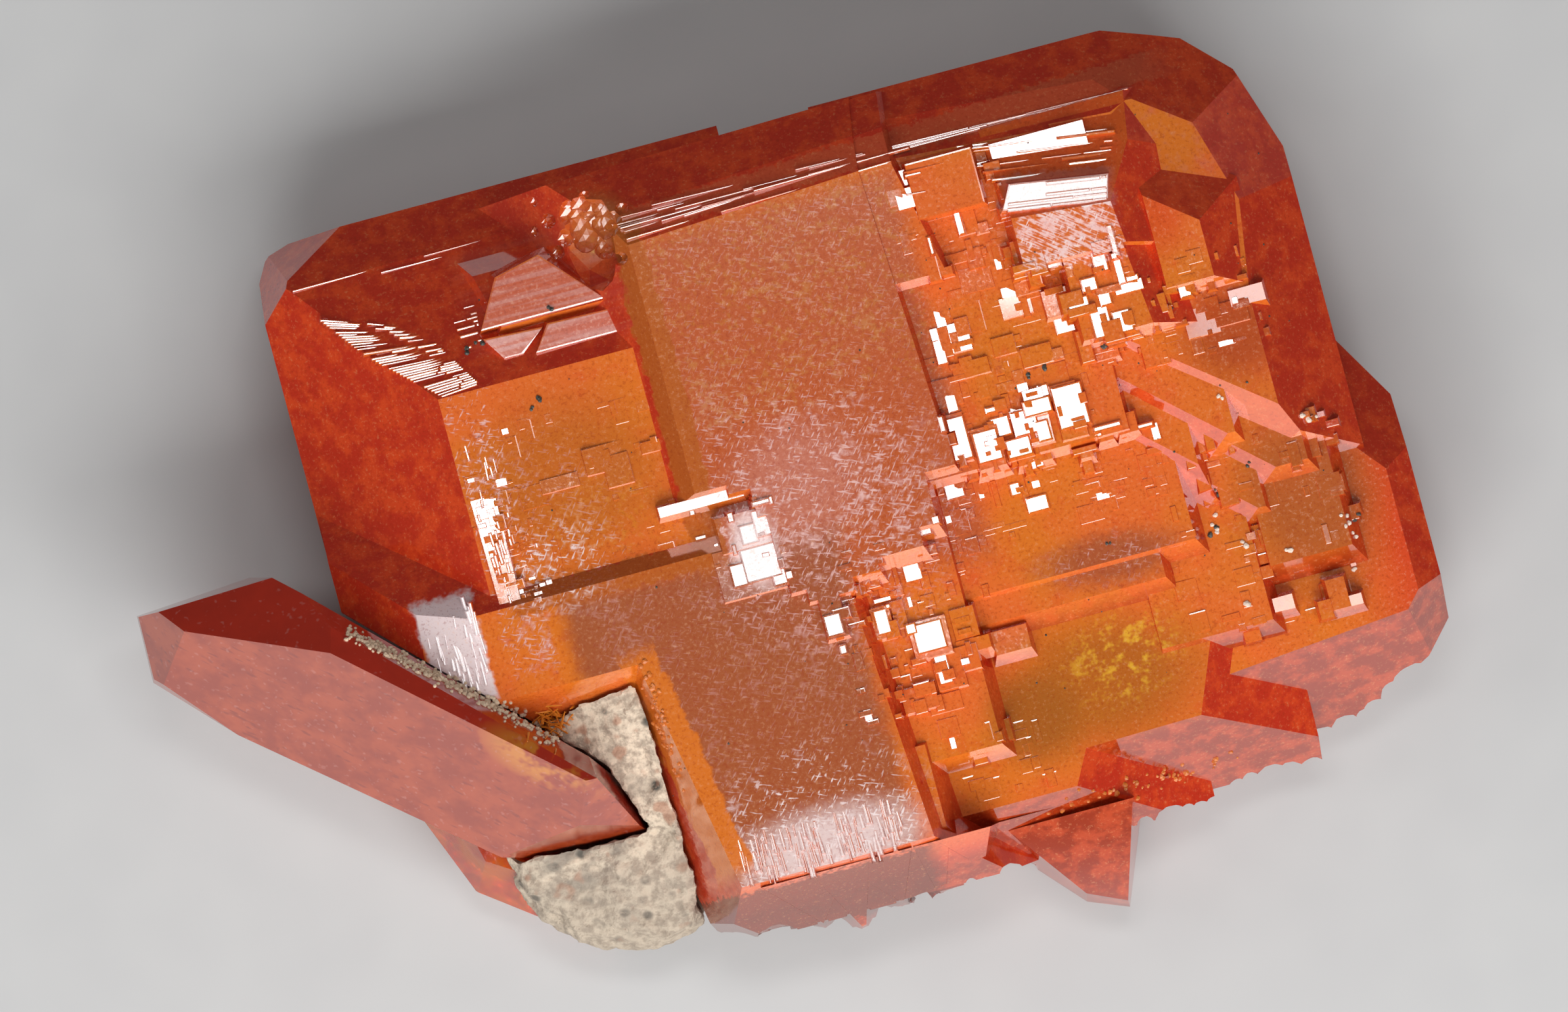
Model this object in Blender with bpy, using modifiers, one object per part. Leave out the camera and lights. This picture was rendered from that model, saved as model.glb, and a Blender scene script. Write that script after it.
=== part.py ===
"""A wulfenite specimen: a thick tabular crystal with two small crystals and a lump of matrix rock.

Every crystal is cut from a rough cube by flat faces, as a crystal is bounded, and the plates that grew into
one another are fused. Shapes are drawn in millimetres in the main crystal's own frame (X and Y along its two
equal axes, Z along its short axis) and turned to metres at the end.
"""

import math
import random

import bmesh
import bpy
from mathutils import Matrix, Vector, noise

# Driving dimensions, in millimetres
MM = 0.001
ROUGH_SIZE = 60.0
CLEARANCE = 0.08
SMALL_OVERLAP = 0.6
WELD = 0.002
FLAKE_RISE = 0.03

# Heights of the main crystal's plates above its flat back
PANEL_TOP = 5.50
LOBE_TOP = 5.35
ARM_TOP = 5.35
LEFT_TOP = 5.10
FIELD_TOP = 5.15
KNOB_TOP = 5.80
BASE_TOP = 4.20
CORNER_TOP = 3.86

# How far the main crystal's outline reaches from its middle
LEFT_REACH = 8.43
TOP_REACH = 6.98
PANEL_REACH = 6.69
RIGHT_REACH = 10.39
CORNER_REACH = 11.17
BOTTOM_REACH = 7.60
BACK_BEVEL_HEIGHT = 1.6

# Tilt of the faces from the flat back: crystal forms and the undercut of the back
TABLE, BACK = 0.0, 180.0
SHALLOW, FLAT_BEVEL, STEEP_BEVEL, LOWER_BEVEL = 31.0, 36.6, 42.0, 64.0
WALL, BACK_BEVEL = 92.0, 132.0

# Azimuths of the four sides
RIGHT, TOP, LEFT, BOTTOM = 0.0, 90.0, 180.0, 270.0
CORNER_CUT, CORNER_CUT_REACH = 225.4, 5.85
TERRACE_CUT, TERRACE_CUT_TILT = 228.0, 40.0

# The ridge and the long walls of the side crystal
SIDE_FRONT, SIDE_BACK = 230.1, 45.4
SIDE_FRONT_REACH, SIDE_FRONT_FOOT, SIDE_UNDERCUT = 8.115, 3.0, 110.0
SIDE_RIDGE_HEIGHT = 6.15

# The chip at the top of the main crystal
CHIP_RADIUS = 0.72
CHIP_SHAPE = (1.0, 1.25, 0.8)
CHIP_PLACE = (-2.30, 5.45, 4.85)

COLOURS = {
    "main_crystal": ((0.46, 0.10, 0.018, 1.0), 0.18),
    "side_crystal": ((0.42, 0.05, 0.016, 1.0), 0.15),
    "lower_crystal": ((0.55, 0.11, 0.014, 1.0), 0.2),
    "matrix_rock": ((0.50, 0.44, 0.36, 1.0), 0.9),
}


def remove_all_objects():
    for item in list(bpy.data.objects):
        bpy.data.objects.remove(item, do_unlink=True)


def new_collection(name):
    collection = bpy.data.collections.new(name)
    bpy.context.scene.collection.children.link(collection)
    return collection


def face_normal(azimuth, tilt):
    """The outward direction of a face: tilt 0 looks up, 90 is a wall and 180 looks down."""
    around, over = math.radians(azimuth), math.radians(tilt)
    flat = math.sin(over)
    return Vector((flat * math.cos(around), flat * math.sin(around), math.cos(over)))


def face_point(azimuth, reach, height):
    around = math.radians(azimuth)
    return Vector((reach * math.cos(around), reach * math.sin(around), height))


def face_at(azimuth, tilt, place, height):
    """A face given by a point (x, y) that it passes at that height."""
    around = math.radians(azimuth)
    return (azimuth, tilt, place[0] * math.cos(around) + place[1] * math.sin(around), height)


def flat_top(height):
    return (RIGHT, TABLE, 0.0, height)


def rim(azimuth, reach, undercut=BACK_BEVEL):
    """A side wall and the bevel under it, towards the flat back."""
    return [
        (azimuth, WALL, reach, BACK_BEVEL_HEIGHT + 1.0),
        (azimuth, undercut, reach, BACK_BEVEL_HEIGHT),
        flat_back(),
    ]


def flat_back(height=0.0):
    return (RIGHT, BACK, 0.0, height)


def cut_block(faces, grow=0.0):
    """A rough cube cut along every face (azimuth, tilt, reach, height); grow moves the faces outwards."""
    block = bmesh.new()
    bmesh.ops.create_cube(block, size=ROUGH_SIZE)
    for azimuth, tilt, reach, height in faces:
        normal = face_normal(azimuth, tilt)
        cut = bmesh.ops.bisect_plane(
            block,
            geom=block.verts[:] + block.edges[:] + block.faces[:],
            dist=1e-6,
            plane_co=face_point(azimuth, reach, height) + normal * grow,
            plane_no=normal,
            clear_outer=True,
        )
        edges = [item for item in cut["geom_cut"] if isinstance(item, bmesh.types.BMEdge)]
        if edges:
            bmesh.ops.contextual_create(block, geom=edges)
    bmesh.ops.recalc_face_normals(block, faces=block.faces[:])
    return block


def box_faces(x_span, y_span, top, low, slopes=(80.0, 80.0, 80.0, 66.0), lean=(0.0, 0.0)):
    """A small step block; slopes are the tilts of its right, top, left and bottom faces."""
    azimuth, tilt = lean
    middle = Vector(((x_span[0] + x_span[1]) / 2, (y_span[0] + y_span[1]) / 2, 0.0))
    reach = middle.dot(face_point(azimuth, 1.0, 0.0))
    return [
        (azimuth, tilt, reach, top),
        flat_back(low),
        (RIGHT, slopes[0], x_span[1], top),
        (TOP, slopes[1], y_span[1], top),
        (LEFT, slopes[2], -x_span[0], top),
        (BOTTOM, slopes[3], -y_span[0], top),
    ]


def make_object(name, block, collection):
    mesh = bpy.data.meshes.new(name)
    block.to_mesh(mesh)
    block.free()
    item = bpy.data.objects.new(name, mesh)
    collection.objects.link(item)
    return item


def make_tool(name, block, tools):
    tool = make_object(name, block, tools)
    tool.hide_render = True
    tool.display_type = "WIRE"
    return tool


def combine(body, tool, operation):
    """Joins the tool's solid to the body or cuts it away, and keeps the result as the body's mesh.

    Many plates share planes and edges, where the EXACT solver leaves open edges; MANIFOLD keeps them closed.
    """
    modifier = body.modifiers.new(operation.lower(), "BOOLEAN")
    modifier.operation = operation
    modifier.solver = "MANIFOLD"
    modifier.object = tool
    seen = body.evaluated_get(bpy.context.evaluated_depsgraph_get())
    mesh = bpy.data.meshes.new_from_object(seen)
    body.modifiers.clear()
    body.data = mesh


def fuse(name, shapes, parts, tools):
    body = make_object(name, cut_block(shapes[0]), parts)
    for index, faces in enumerate(shapes[1:]):
        tool = make_tool(f"{name}_plate_{index}", cut_block(faces), tools)
        combine(body, tool, "UNION")
        bpy.data.objects.remove(tool, do_unlink=True)
    return body


def tidy_mesh(body):
    """Merges points that all but touch, and leaves triangles."""
    mesh = bmesh.new()
    mesh.from_mesh(body.data)
    bmesh.ops.remove_doubles(mesh, verts=mesh.verts[:], dist=WELD)
    bmesh.ops.dissolve_degenerate(mesh, edges=mesh.edges[:], dist=WELD)
    bmesh.ops.triangulate(mesh, faces=mesh.faces[:])
    bmesh.ops.recalc_face_normals(mesh, faces=mesh.faces[:])
    mesh.to_mesh(body.data)
    mesh.free()


def left_plates():
    """The left part: one wide plate with broad bevels, and a slightly higher arm below it."""
    plate = [
        flat_top(LEFT_TOP),
        (LEFT, FLAT_BEVEL, 5.70, LEFT_TOP),
        (TOP, SHALLOW, 3.42, LEFT_TOP),
        (TOP, STEEP_BEVEL, 6.08, 3.50),
        (143.0, 74.0, 10.15, 2.9),
        (113.0, 72.0, 9.06, 2.6),
        (RIGHT, 90.0, 0.5, 0.0),
        (BOTTOM, 90.0, 1.5, 0.0),
        (CORNER_CUT, 90.0, CORNER_CUT_REACH, 0.0),
        *rim(LEFT, LEFT_REACH),
        *rim(TOP, TOP_REACH),
    ]
    upper_ledge = [
        flat_top(LEFT_TOP + 0.4),
        (LEFT, FLAT_BEVEL, 5.36, LEFT_TOP + 0.12),
        (TOP, SHALLOW, 3.72, LEFT_TOP + 0.12),
        (TOP, 58.0, 5.34, LEFT_TOP - 0.75),
        (LEFT, 66.0, 4.25, LEFT_TOP - 0.3),
        (BOTTOM, 62.0, -4.36, LEFT_TOP - 0.36),
        (RIGHT, 90.0, -1.9, 0.0),
        flat_back(2.0),
    ]
    arm = [
        flat_top(ARM_TOP),
        (TOP, STEEP_BEVEL, -0.57, ARM_TOP),
        (LEFT + 8.0, 18.0, 6.24, ARM_TOP),
        (LEFT, 42.0, 7.10, 5.08),
        (BOTTOM, 62.0, 2.19, ARM_TOP),
        (RIGHT, 90.0, 0.3, 0.0),
        (CORNER_CUT, 90.0, CORNER_CUT_REACH - 0.02, 0.0),
        *rim(LEFT, LEFT_REACH - 0.04),
        *rim(BOTTOM, 3.1),
    ]
    return [plate, upper_ledge, arm]


def panel_plates():
    """The middle part: the highest broad plate, whose lower right edge comes down in square stairs."""
    top_band = [
        (92.85, SHALLOW, 5.31, PANEL_TOP),
        (92.85, STEEP_BEVEL, 5.97, 5.10),
    ]
    panel = [
        flat_top(PANEL_TOP),
        (LEFT, 45.0, 1.62, PANEL_TOP),
        (RIGHT + 3.0, 76.0, 3.06, PANEL_TOP),
        (BOTTOM, 66.0, -0.55, PANEL_TOP),
        *top_band,
        *rim(91.0, PANEL_REACH),
        (RIGHT, 90.0, 6.0, 0.0),
    ]
    right_strip = [
        flat_top(PANEL_TOP - 0.03),
        (LEFT, 90.0, -2.0, 0.0),
        (RIGHT + 12.0, 70.0, 4.45, PANEL_TOP - 0.03),
        (BOTTOM, 66.0, -3.30, PANEL_TOP),
        (92.85, SHALLOW, 5.29, PANEL_TOP - 0.03),
        (92.85, STEEP_BEVEL, 5.93, 5.09),
        *rim(91.0, PANEL_REACH - 0.03),
    ]
    stairs = [
        ((-0.62, 3.10), (-0.16, 0.75)),
        ((-0.46, 2.52), (-1.10, 0.40)),
        ((-0.40, 2.16), (-1.44, 0.10)),
        ((-0.38, 1.28), (-1.66, -0.40)),
        ((-0.10, 0.76), (-1.90, -0.80)),
        ((0.05, 0.44), (-2.66, -1.20)),
        ((-1.02, 0.60), (0.38, 1.20)),
    ]
    steps = [box_faces(x_span, y_span, PANEL_TOP, 3.5) for x_span, y_span in stairs]
    return [panel, right_strip, *steps]


def lobe_plates():
    """The lower left part, which reaches down beside the matrix rock."""
    lobe = [
        flat_top(LOBE_TOP),
        (190.0, 72.0, 3.75, LOBE_TOP),
        (BOTTOM, LOWER_BEVEL, 6.60, LOBE_TOP),
        (TOP, STEEP_BEVEL, -0.64, LOBE_TOP),
        (RIGHT + 4.0, 62.0, 0.52, LOBE_TOP),
        (240.0, 84.0, 7.86, 3.0),
        *rim(190.0, 4.58, 116.0),
        *rim(BOTTOM, BOTTOM_REACH),
    ]
    shelf = [
        flat_top(4.98),
        (BOTTOM, LOWER_BEVEL, 6.50, 4.98),
        (RIGHT, 70.0, 1.25, 4.98),
        (LEFT, 90.0, 2.0, 0.0),
        (TOP, 70.0, -4.95, 4.98),
        *rim(BOTTOM, BOTTOM_REACH + 0.07),
    ]
    return [lobe, shelf]


def field_plates():
    """The right part: a stepped field under a rounded corner, with a raised knob near the top."""
    corner = [
        (22.0, 15.0, 8.75, FIELD_TOP),
        (RIGHT, STEEP_BEVEL, 9.42, 4.80),
        (70.0, STEEP_BEVEL, 8.36, 4.50),
        (45.0, STEEP_BEVEL, 10.08, 4.42),
        (18.0, STEEP_BEVEL, 10.22, 4.55),
        *rim(70.0, 9.01),
        *rim(45.0, 10.87),
        *rim(18.0, 11.09),
        *rim(RIGHT, RIGHT_REACH),
    ]
    top_band = [
        (86.0, SHALLOW, 5.74, FIELD_TOP),
        (86.0, STEEP_BEVEL, 6.42, 4.76),
        *rim(TOP, 6.78),
    ]
    field = [
        flat_top(FIELD_TOP),
        (LEFT, 90.0, -2.2, 0.0),
        (BOTTOM, 68.0, 0.35, FIELD_TOP),
        (RIGHT, 76.0, 6.34, FIELD_TOP),
        *top_band,
    ]
    right_field = [
        flat_top(FIELD_TOP - 0.05),
        (LEFT, 90.0, -5.4, 0.0),
        face_at(TERRACE_CUT + 4.0, TERRACE_CUT_TILT, (7.50, 0.62), FIELD_TOP - 0.05),
        (BOTTOM, 60.0, 1.05, FIELD_TOP - 0.05),
        *corner,
        *top_band,
    ]
    knob = [
        flat_top(KNOB_TOP),
        (85.0, 24.0, 4.335, KNOB_TOP),
        (LEFT, 78.0, -5.24, KNOB_TOP),
        (RIGHT + 6.0, 34.0, 7.42, KNOB_TOP),
        (BOTTOM, 70.0, -2.95, KNOB_TOP),
        (22.0, 40.0, 9.1, FIELD_TOP),
        (TOP, 80.0, 5.6, FIELD_TOP),
        flat_back(FIELD_TOP - 0.5),
    ]
    knob_foot = [
        flat_top(KNOB_TOP - 0.14),
        (LEFT, 78.0, -5.98, KNOB_TOP),
        (RIGHT + 6.0, 34.0, 7.36, KNOB_TOP - 0.14),
        (BOTTOM, 70.0, -1.40, KNOB_TOP - 0.14),
        (TOP, 80.0, 3.4, KNOB_TOP),
        flat_back(FIELD_TOP - 0.5),
    ]
    bulge = [
        flat_top(FIELD_TOP + 0.34),
        (LEFT, 70.0, -7.66, FIELD_TOP + 0.34),
        (52.0, 36.0, 7.62, FIELD_TOP + 0.34),
        (RIGHT, 40.0, 8.55, FIELD_TOP + 0.34),
        (BOTTOM, 60.0, -1.94, FIELD_TOP + 0.34),
        flat_back(FIELD_TOP - 0.4),
    ]
    return [field, right_field, knob, knob_foot, bulge]


def terrace_plates():
    """The lower right part: a low base and the terraces that come down over it towards the lower edge."""
    low_side = [
        flat_top(BASE_TOP),
        (LEFT, 90.0, 2.2, 0.0),
        (TOP, 90.0, 1.0, 0.0),
        (BOTTOM, 60.0, 6.42, BASE_TOP),
        face_at(-28.0, 42.0, (3.95, -6.05), BASE_TOP),
        *rim(BOTTOM, 7.44),
        *rim(RIGHT, 6.2),
    ]
    gold_side = [
        flat_top(BASE_TOP),
        (LEFT, 90.0, -2.2, 0.0),
        (TOP, 90.0, 1.0, 0.0),
        (BOTTOM + 1.0, 60.0, 5.86, BASE_TOP),
        face_at(-22.0, 38.0, (6.46, -5.30), BASE_TOP),
        *rim(BOTTOM, 7.20),
        *rim(RIGHT, 8.3),
    ]
    corner_plate = [
        flat_top(CORNER_TOP),
        (LEFT, 90.0, -3.6, 0.0),
        (RIGHT, STEEP_BEVEL, 10.72, CORNER_TOP),
        (40.0, 38.0, 6.75, CORNER_TOP),
        (BOTTOM + 5.0, 56.0, 5.76, CORNER_TOP),
        (318.0, 60.0, 11.02, CORNER_TOP),
        (TOP, 90.0, 0.4, 0.0),
        *rim(RIGHT, CORNER_REACH),
        *rim(30.0, 9.18),
        *rim(318.0, 11.80),
        *rim(300.0, 10.36),
        *rim(287.0, 9.16),
        *rim(272.0, 7.60),
    ]
    middle = [
        flat_top(4.86),
        (LEFT, 90.0, 1.0, 0.0),
        (RIGHT, 72.0, 2.62, 4.86),
        (BOTTOM, 66.0, 5.30, 4.86),
        (TOP, 90.0, 1.0, 0.0),
        flat_back(1.2),
    ]
    terraces = [
        ((0.6, 6.30), (-3.14, 2.0), 4.62, None),
        ((1.4, 7.00), (-2.60, 2.0), 4.72, None),
        ((2.0, 7.40), (-1.72, 2.0), 4.84, 7.3),
        ((2.2, 8.20), (-0.90, 2.0), 4.98, 7.5),
        ((6.6, 8.40), (-2.36, 1.0), 4.52, 7.7),
        ((7.0, 9.36), (-1.72, 1.0), 4.70, 8.2),
        ((8.2, 9.75), (-3.45, 0.4), 4.36, None),
        ((5.9, 8.00), (-4.40, 0.0), 4.31, None),
    ]
    steps = []
    for x_span, y_span, top, corner_x in terraces:
        faces = box_faces(x_span, y_span, top, BASE_TOP - 0.3, slopes=(64.0, 80.0, 80.0, 52.0))
        if corner_x is not None:
            faces.append(face_at(TERRACE_CUT, TERRACE_CUT_TILT, (corner_x, y_span[0] + 0.5), top))
        steps.append(faces)
    return [low_side, gold_side, corner_plate, middle, *steps]


def step_blocks():
    """Small square steps on the plates, along the crystal's two equal axes."""
    placed = [
        ((3.14, 3.46), (-0.16, 0.74), 5.22),
        ((3.52, 4.02), (-0.40, 0.36), 5.23),
        ((4.30, 4.98), (-0.22, 0.50), 5.22),
        ((4.62, 4.98), (0.30, 0.80), 5.26),
        ((5.12, 5.60), (-0.26, 0.76), 5.23),
        ((5.42, 5.96), (1.96, 2.46), 5.30),
        ((6.20, 6.90), (1.30, 1.74), 5.26),
        ((-2.34, -0.76), (0.28, 0.47), 5.32),
        ((-1.40, -0.36), (-0.66, 0.00), 5.42),
        ((-1.60, -0.42), (-1.52, -0.60), 5.40),
        ((0.90, 1.26), (-2.90, -2.32), 4.98),
        ((1.50, 2.20), (-3.46, -2.76), 4.97),
        ((1.76, 2.30), (-4.10, -3.40), 4.94),
        ((1.06, 1.70), (-4.34, -3.90), 4.96),
        ((2.94, 3.60), (-3.74, -3.30), 4.64),
        ((-5.60, -5.16), (-0.70, 2.50), 5.15),
        ((-3.10, -2.62), (1.05, 1.62), 5.14),
        ((-4.30, -3.60), (1.25, 1.50), 5.13),
        ((5.20, 6.96), (4.62, 5.30), 5.30),
        ((3.40, 4.90), (4.30, 5.10), 5.22),
    ]
    blocks = []
    for index, (x_span, y_span, top) in enumerate(placed):
        blocks.append(box_faces(x_span, y_span, top, top - SMALL_OVERLAP, lean=(TOP, 2.0 + index % 4)))
    scatter = random.Random(12)
    fields = [
        (18, (3.2, 6.8), (0.6, 4.3), FIELD_TOP),
        (9, (2.6, 6.6), (-0.8, 0.1), 5.02),
        (8, (0.8, 2.4), (-5.0, -2.1), 4.86),
        (7, (7.4, 9.0), (0.9, 2.0), FIELD_TOP - 0.05),
        (10, (7.0, 9.2), (-4.6, -2.4), BASE_TOP),
        (3, (-3.6, -2.2), (0.6, 2.0), LEFT_TOP),
    ]
    for count, x_range, y_range, floor in fields:
        for _ in range(count):
            x_low, y_low = scatter.uniform(*x_range), scatter.uniform(*y_range)
            wide, deep = scatter.uniform(0.22, 0.8), scatter.uniform(0.18, 0.6)
            top = floor + scatter.uniform(0.02, 0.06)
            lean = (scatter.choice((TOP, RIGHT, LEFT)), scatter.uniform(0.0, 5.0))
            x_span, y_span = (x_low, x_low + wide), (y_low, y_low + deep)
            blocks.append(box_faces(x_span, y_span, top, floor - 0.4, lean=lean))
    return blocks


def broken_edge():
    """The lower edge is broken: a pointed splinter, and thin flakes that stand out from the bevel."""
    splinter = [
        (262.0, 45.0, 7.30, 2.66),
        (260.0, 152.0, 8.30, 1.10),
        (339.7, 86.0, 6.88, 2.4),
        (220.4, 84.0, 2.81, 2.4),
        (247.5, 82.0, 6.42, 2.4),
        (TOP, 90.0, -6.9, 0.0),
        flat_back(),
    ]
    flakes = [splinter]
    scatter = random.Random(5)
    stretches = [
        (-1.9, 1.9, BOTTOM_REACH, LOWER_BEVEL, 6.60, LOBE_TOP),
        (2.1, 2.9, BOTTOM_REACH - 0.16, 60.0, 6.42, BASE_TOP),
        (4.6, 5.6, BOTTOM_REACH - 0.40, 60.0, 5.86, BASE_TOP),
    ]
    for x_place, x_end, rim_reach, tilt, bevel_reach, top in stretches:
        while x_place < x_end:
            wide = scatter.uniform(0.55, 1.2)
            out = rim_reach + scatter.uniform(-0.02, 0.15)
            middle = (x_place + wide / 2, -bevel_reach - FLAKE_RISE)
            flakes.append([
                face_at(BOTTOM + scatter.uniform(-3.0, 3.0), tilt, middle, top),
                (BOTTOM + scatter.uniform(-12.0, 12.0), 84.0, out, 2.2),
                face_at(RIGHT - scatter.uniform(25.0, 55.0), 84.0, (x_place + wide, 0.3 - out), 2.2),
                face_at(LEFT + scatter.uniform(25.0, 55.0), 84.0, (x_place, 0.3 - out), 2.2),
                (BOTTOM, 146.0, out, 1.2),
                (TOP, 90.0, -6.7, 0.0),
                flat_back(),
            ])
            x_place += wide * scatter.uniform(0.75, 1.2)
    return flakes


def main_crystal_shapes():
    return [
        *left_plates(),
        *panel_plates(),
        *lobe_plates(),
        *field_plates(),
        *terrace_plates(),
        *step_blocks(),
        *broken_edge(),
    ]


def side_crystal_shapes():
    """A long crystal: one broad front face, a narrow strip along the ridge and a bevelled left end."""
    body = [
        (SIDE_FRONT, 55.0, 6.05, SIDE_RIDGE_HEIGHT),
        (SIDE_BACK, 38.0, -6.50, SIDE_RIDGE_HEIGHT),
        (SIDE_BACK, 66.0, -6.12, SIDE_RIDGE_HEIGHT - 0.3),
        (100.0, 36.9, 1.255, SIDE_RIDGE_HEIGHT - 0.17),
        (197.0, 60.0, 10.62, 5.05),
        (SIDE_BACK, 94.0, -5.95, 4.0),
        (SIDE_FRONT, SIDE_UNDERCUT, SIDE_FRONT_REACH, SIDE_FRONT_FOOT),
        (92.0, 88.0, 1.43, 4.0),
        (LEFT, 86.0, 12.07, 3.6),
        (222.0, 84.0, 9.13, 3.0),
        (265.0, 78.0, 5.38, 3.9),
        (285.0, 60.0, 3.02, 5.2),
        (15.0, 84.0, -5.34, 3.9),
        (SIDE_BACK - 90.0, 62.0, 0.62, 5.7),
        (150.0, 126.0, 10.2, 2.2),
        (LEFT, 128.0, 11.6, 1.8),
        flat_back(),
    ]
    return [body]


def lower_crystal_shapes():
    """A small crystal that shows below the side crystal; its inner face follows the other's undercut."""
    body = [
        (225.0, 30.0, 8.30, 2.35),
        (201.6, 64.0, 8.66, 1.75),
        (201.6, 96.0, 8.93, 1.2),
        (233.0, 58.0, 8.60, 1.65),
        (233.0, 100.0, 8.85, 1.2),
        (BOTTOM, 80.0, 6.72, 1.2),
        (RIGHT, 86.0, -5.25, 1.2),
        (SIDE_FRONT - 180.0, 180.0 - SIDE_UNDERCUT, -SIDE_FRONT_REACH - 0.15, SIDE_FRONT_FOOT),
        flat_back(),
    ]
    return [body]


def matrix_lump():
    """The rough outer shape of the rock, before its neighbours are taken out of it."""
    return [
        (235.0, 30.0, 4.30, 5.05),
        (40.0, 12.0, -5.00, 5.06),
        (60.0, 84.0, -3.72, 5.0),
        (RIGHT, 86.0, -2.96, 4.0),
        (340.0, 84.0, -1.02, 4.0),
        (BOTTOM + 8.0, 78.0, 6.36, 3.6),
        (BOTTOM - 14.0, 74.0, 7.84, 3.2),
        (225.0, 74.0, 8.62, 3.0),
        (195.0, 80.0, 7.66, 3.4),
        (150.0, 86.0, 4.10, 4.0),
        (TOP + 10.0, 84.0, -1.36, 5.0),
        (BOTTOM, 140.0, 6.6, 1.0),
        (225.0, 140.0, 8.1, 1.0),
        flat_back(-0.4),
    ]


def roughen(body, cell, depth, scale, seed):
    """Gives a rock its lumpy skin: an even mesh whose points move along their normals."""
    remesh = body.modifiers.new("even_mesh", "REMESH")
    remesh.mode = "VOXEL"
    remesh.voxel_size = cell
    seen = body.evaluated_get(bpy.context.evaluated_depsgraph_get())
    mesh = bpy.data.meshes.new_from_object(seen)
    body.modifiers.clear()
    body.data = mesh
    offset = Vector((seed, 2.0 * seed, 3.0 * seed))
    for point in mesh.vertices:
        lump = noise.fractal(point.co * scale + offset, 0.9, 2.1, 3)
        point.co = point.co + point.normal * depth * lump


def make_matrix(name, neighbours, parts, tools):
    body = make_object(name, cut_block(matrix_lump()), parts)
    roughen(body, cell=0.34, depth=0.16, scale=0.9, seed=4.0)
    floor = make_tool("floor_cut", cut_block([flat_top(0.0), flat_back(-5.0)]), tools)
    combine(body, floor, "DIFFERENCE")
    bpy.data.objects.remove(floor, do_unlink=True)
    for index, faces in enumerate(neighbours):
        tool = make_tool(f"neighbour_{index}", cut_block(faces, CLEARANCE), tools)
        combine(body, tool, "DIFFERENCE")
        bpy.data.objects.remove(tool, do_unlink=True)
    keep_largest_piece(body)
    return body


def break_chip(body, tools):
    """A shell-shaped chip broken out where the left and middle plates meet at the top."""
    scoop = bmesh.new()
    bmesh.ops.create_icosphere(scoop, subdivisions=2, radius=CHIP_RADIUS)
    bmesh.ops.scale(scoop, vec=CHIP_SHAPE, verts=scoop.verts[:])
    bmesh.ops.translate(scoop, vec=CHIP_PLACE, verts=scoop.verts[:])
    tool = make_tool("chip", scoop, tools)
    combine(body, tool, "DIFFERENCE")
    bpy.data.objects.remove(tool, do_unlink=True)


def keep_largest_piece(body):
    """Cutting can leave crumbs beside the rock; only the biggest connected piece stays."""
    mesh = bmesh.new()
    mesh.from_mesh(body.data)
    bmesh.ops.remove_doubles(mesh, verts=mesh.verts[:], dist=0.0005)
    left = set(mesh.verts)
    pieces = []
    while left:
        piece, reached = set(), [left.pop()]
        while reached:
            point = reached.pop()
            piece.add(point)
            for edge in point.link_edges:
                other = edge.other_vert(point)
                if other in left:
                    left.discard(other)
                    reached.append(other)
        pieces.append(piece)
    pieces.sort(key=len)
    for piece in pieces[:-1]:
        bmesh.ops.delete(mesh, geom=list(piece), context="VERTS")
    mesh.to_mesh(body.data)
    mesh.free()


def give_material(body, colour, roughness):
    material = bpy.data.materials.new(body.name)
    material.use_nodes = True
    shader = material.node_tree.nodes["Principled BSDF"]
    shader.inputs["Base Color"].default_value = colour
    shader.inputs["Roughness"].default_value = roughness
    shader.inputs["Metallic"].default_value = 0.0
    body.data.materials.clear()
    body.data.materials.append(material)


def stand_at_origin(bodies):
    """Puts the origin under the middle of the whole specimen, and turns millimetres to metres."""
    corners = [point.co for body in bodies for point in body.data.vertices]
    low = Vector([min(corner[axis] for corner in corners) for axis in range(3)])
    high = Vector([max(corner[axis] for corner in corners) for axis in range(3)])
    foot = Vector(((low.x + high.x) / 2, (low.y + high.y) / 2, low.z))
    for body in bodies:
        body.data.transform(Matrix.Scale(MM, 4) @ Matrix.Translation(-foot))
        body.data.update()


def main():
    remove_all_objects()
    parts = new_collection("wulfenite_specimen")
    tools = new_collection("cutters")
    main_shapes = main_crystal_shapes()
    side_shapes = side_crystal_shapes()
    lower_shapes = lower_crystal_shapes()
    bodies = [
        fuse("main_crystal", main_shapes, parts, tools),
        fuse("side_crystal", side_shapes, parts, tools),
        fuse("lower_crystal", lower_shapes, parts, tools),
        make_matrix("matrix_rock", main_shapes + side_shapes + lower_shapes, parts, tools),
    ]
    break_chip(bodies[0], tools)
    for body in bodies:
        tidy_mesh(body)
        give_material(body, *COLOURS[body.name])
    stand_at_origin(bodies)


main()
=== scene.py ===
# %% [markdown]
# # A wulfenite specimen
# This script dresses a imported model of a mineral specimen. Its fixed frame comes first: the crystals and the
# rock at their real size and place. Everything below is then laid over that frame.

# %% Load the frame
import math
import random

import bmesh
import bpy
import numpy as np
from mathutils import Matrix, Vector, noise
from mathutils.bvhtree import BVHTree


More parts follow.
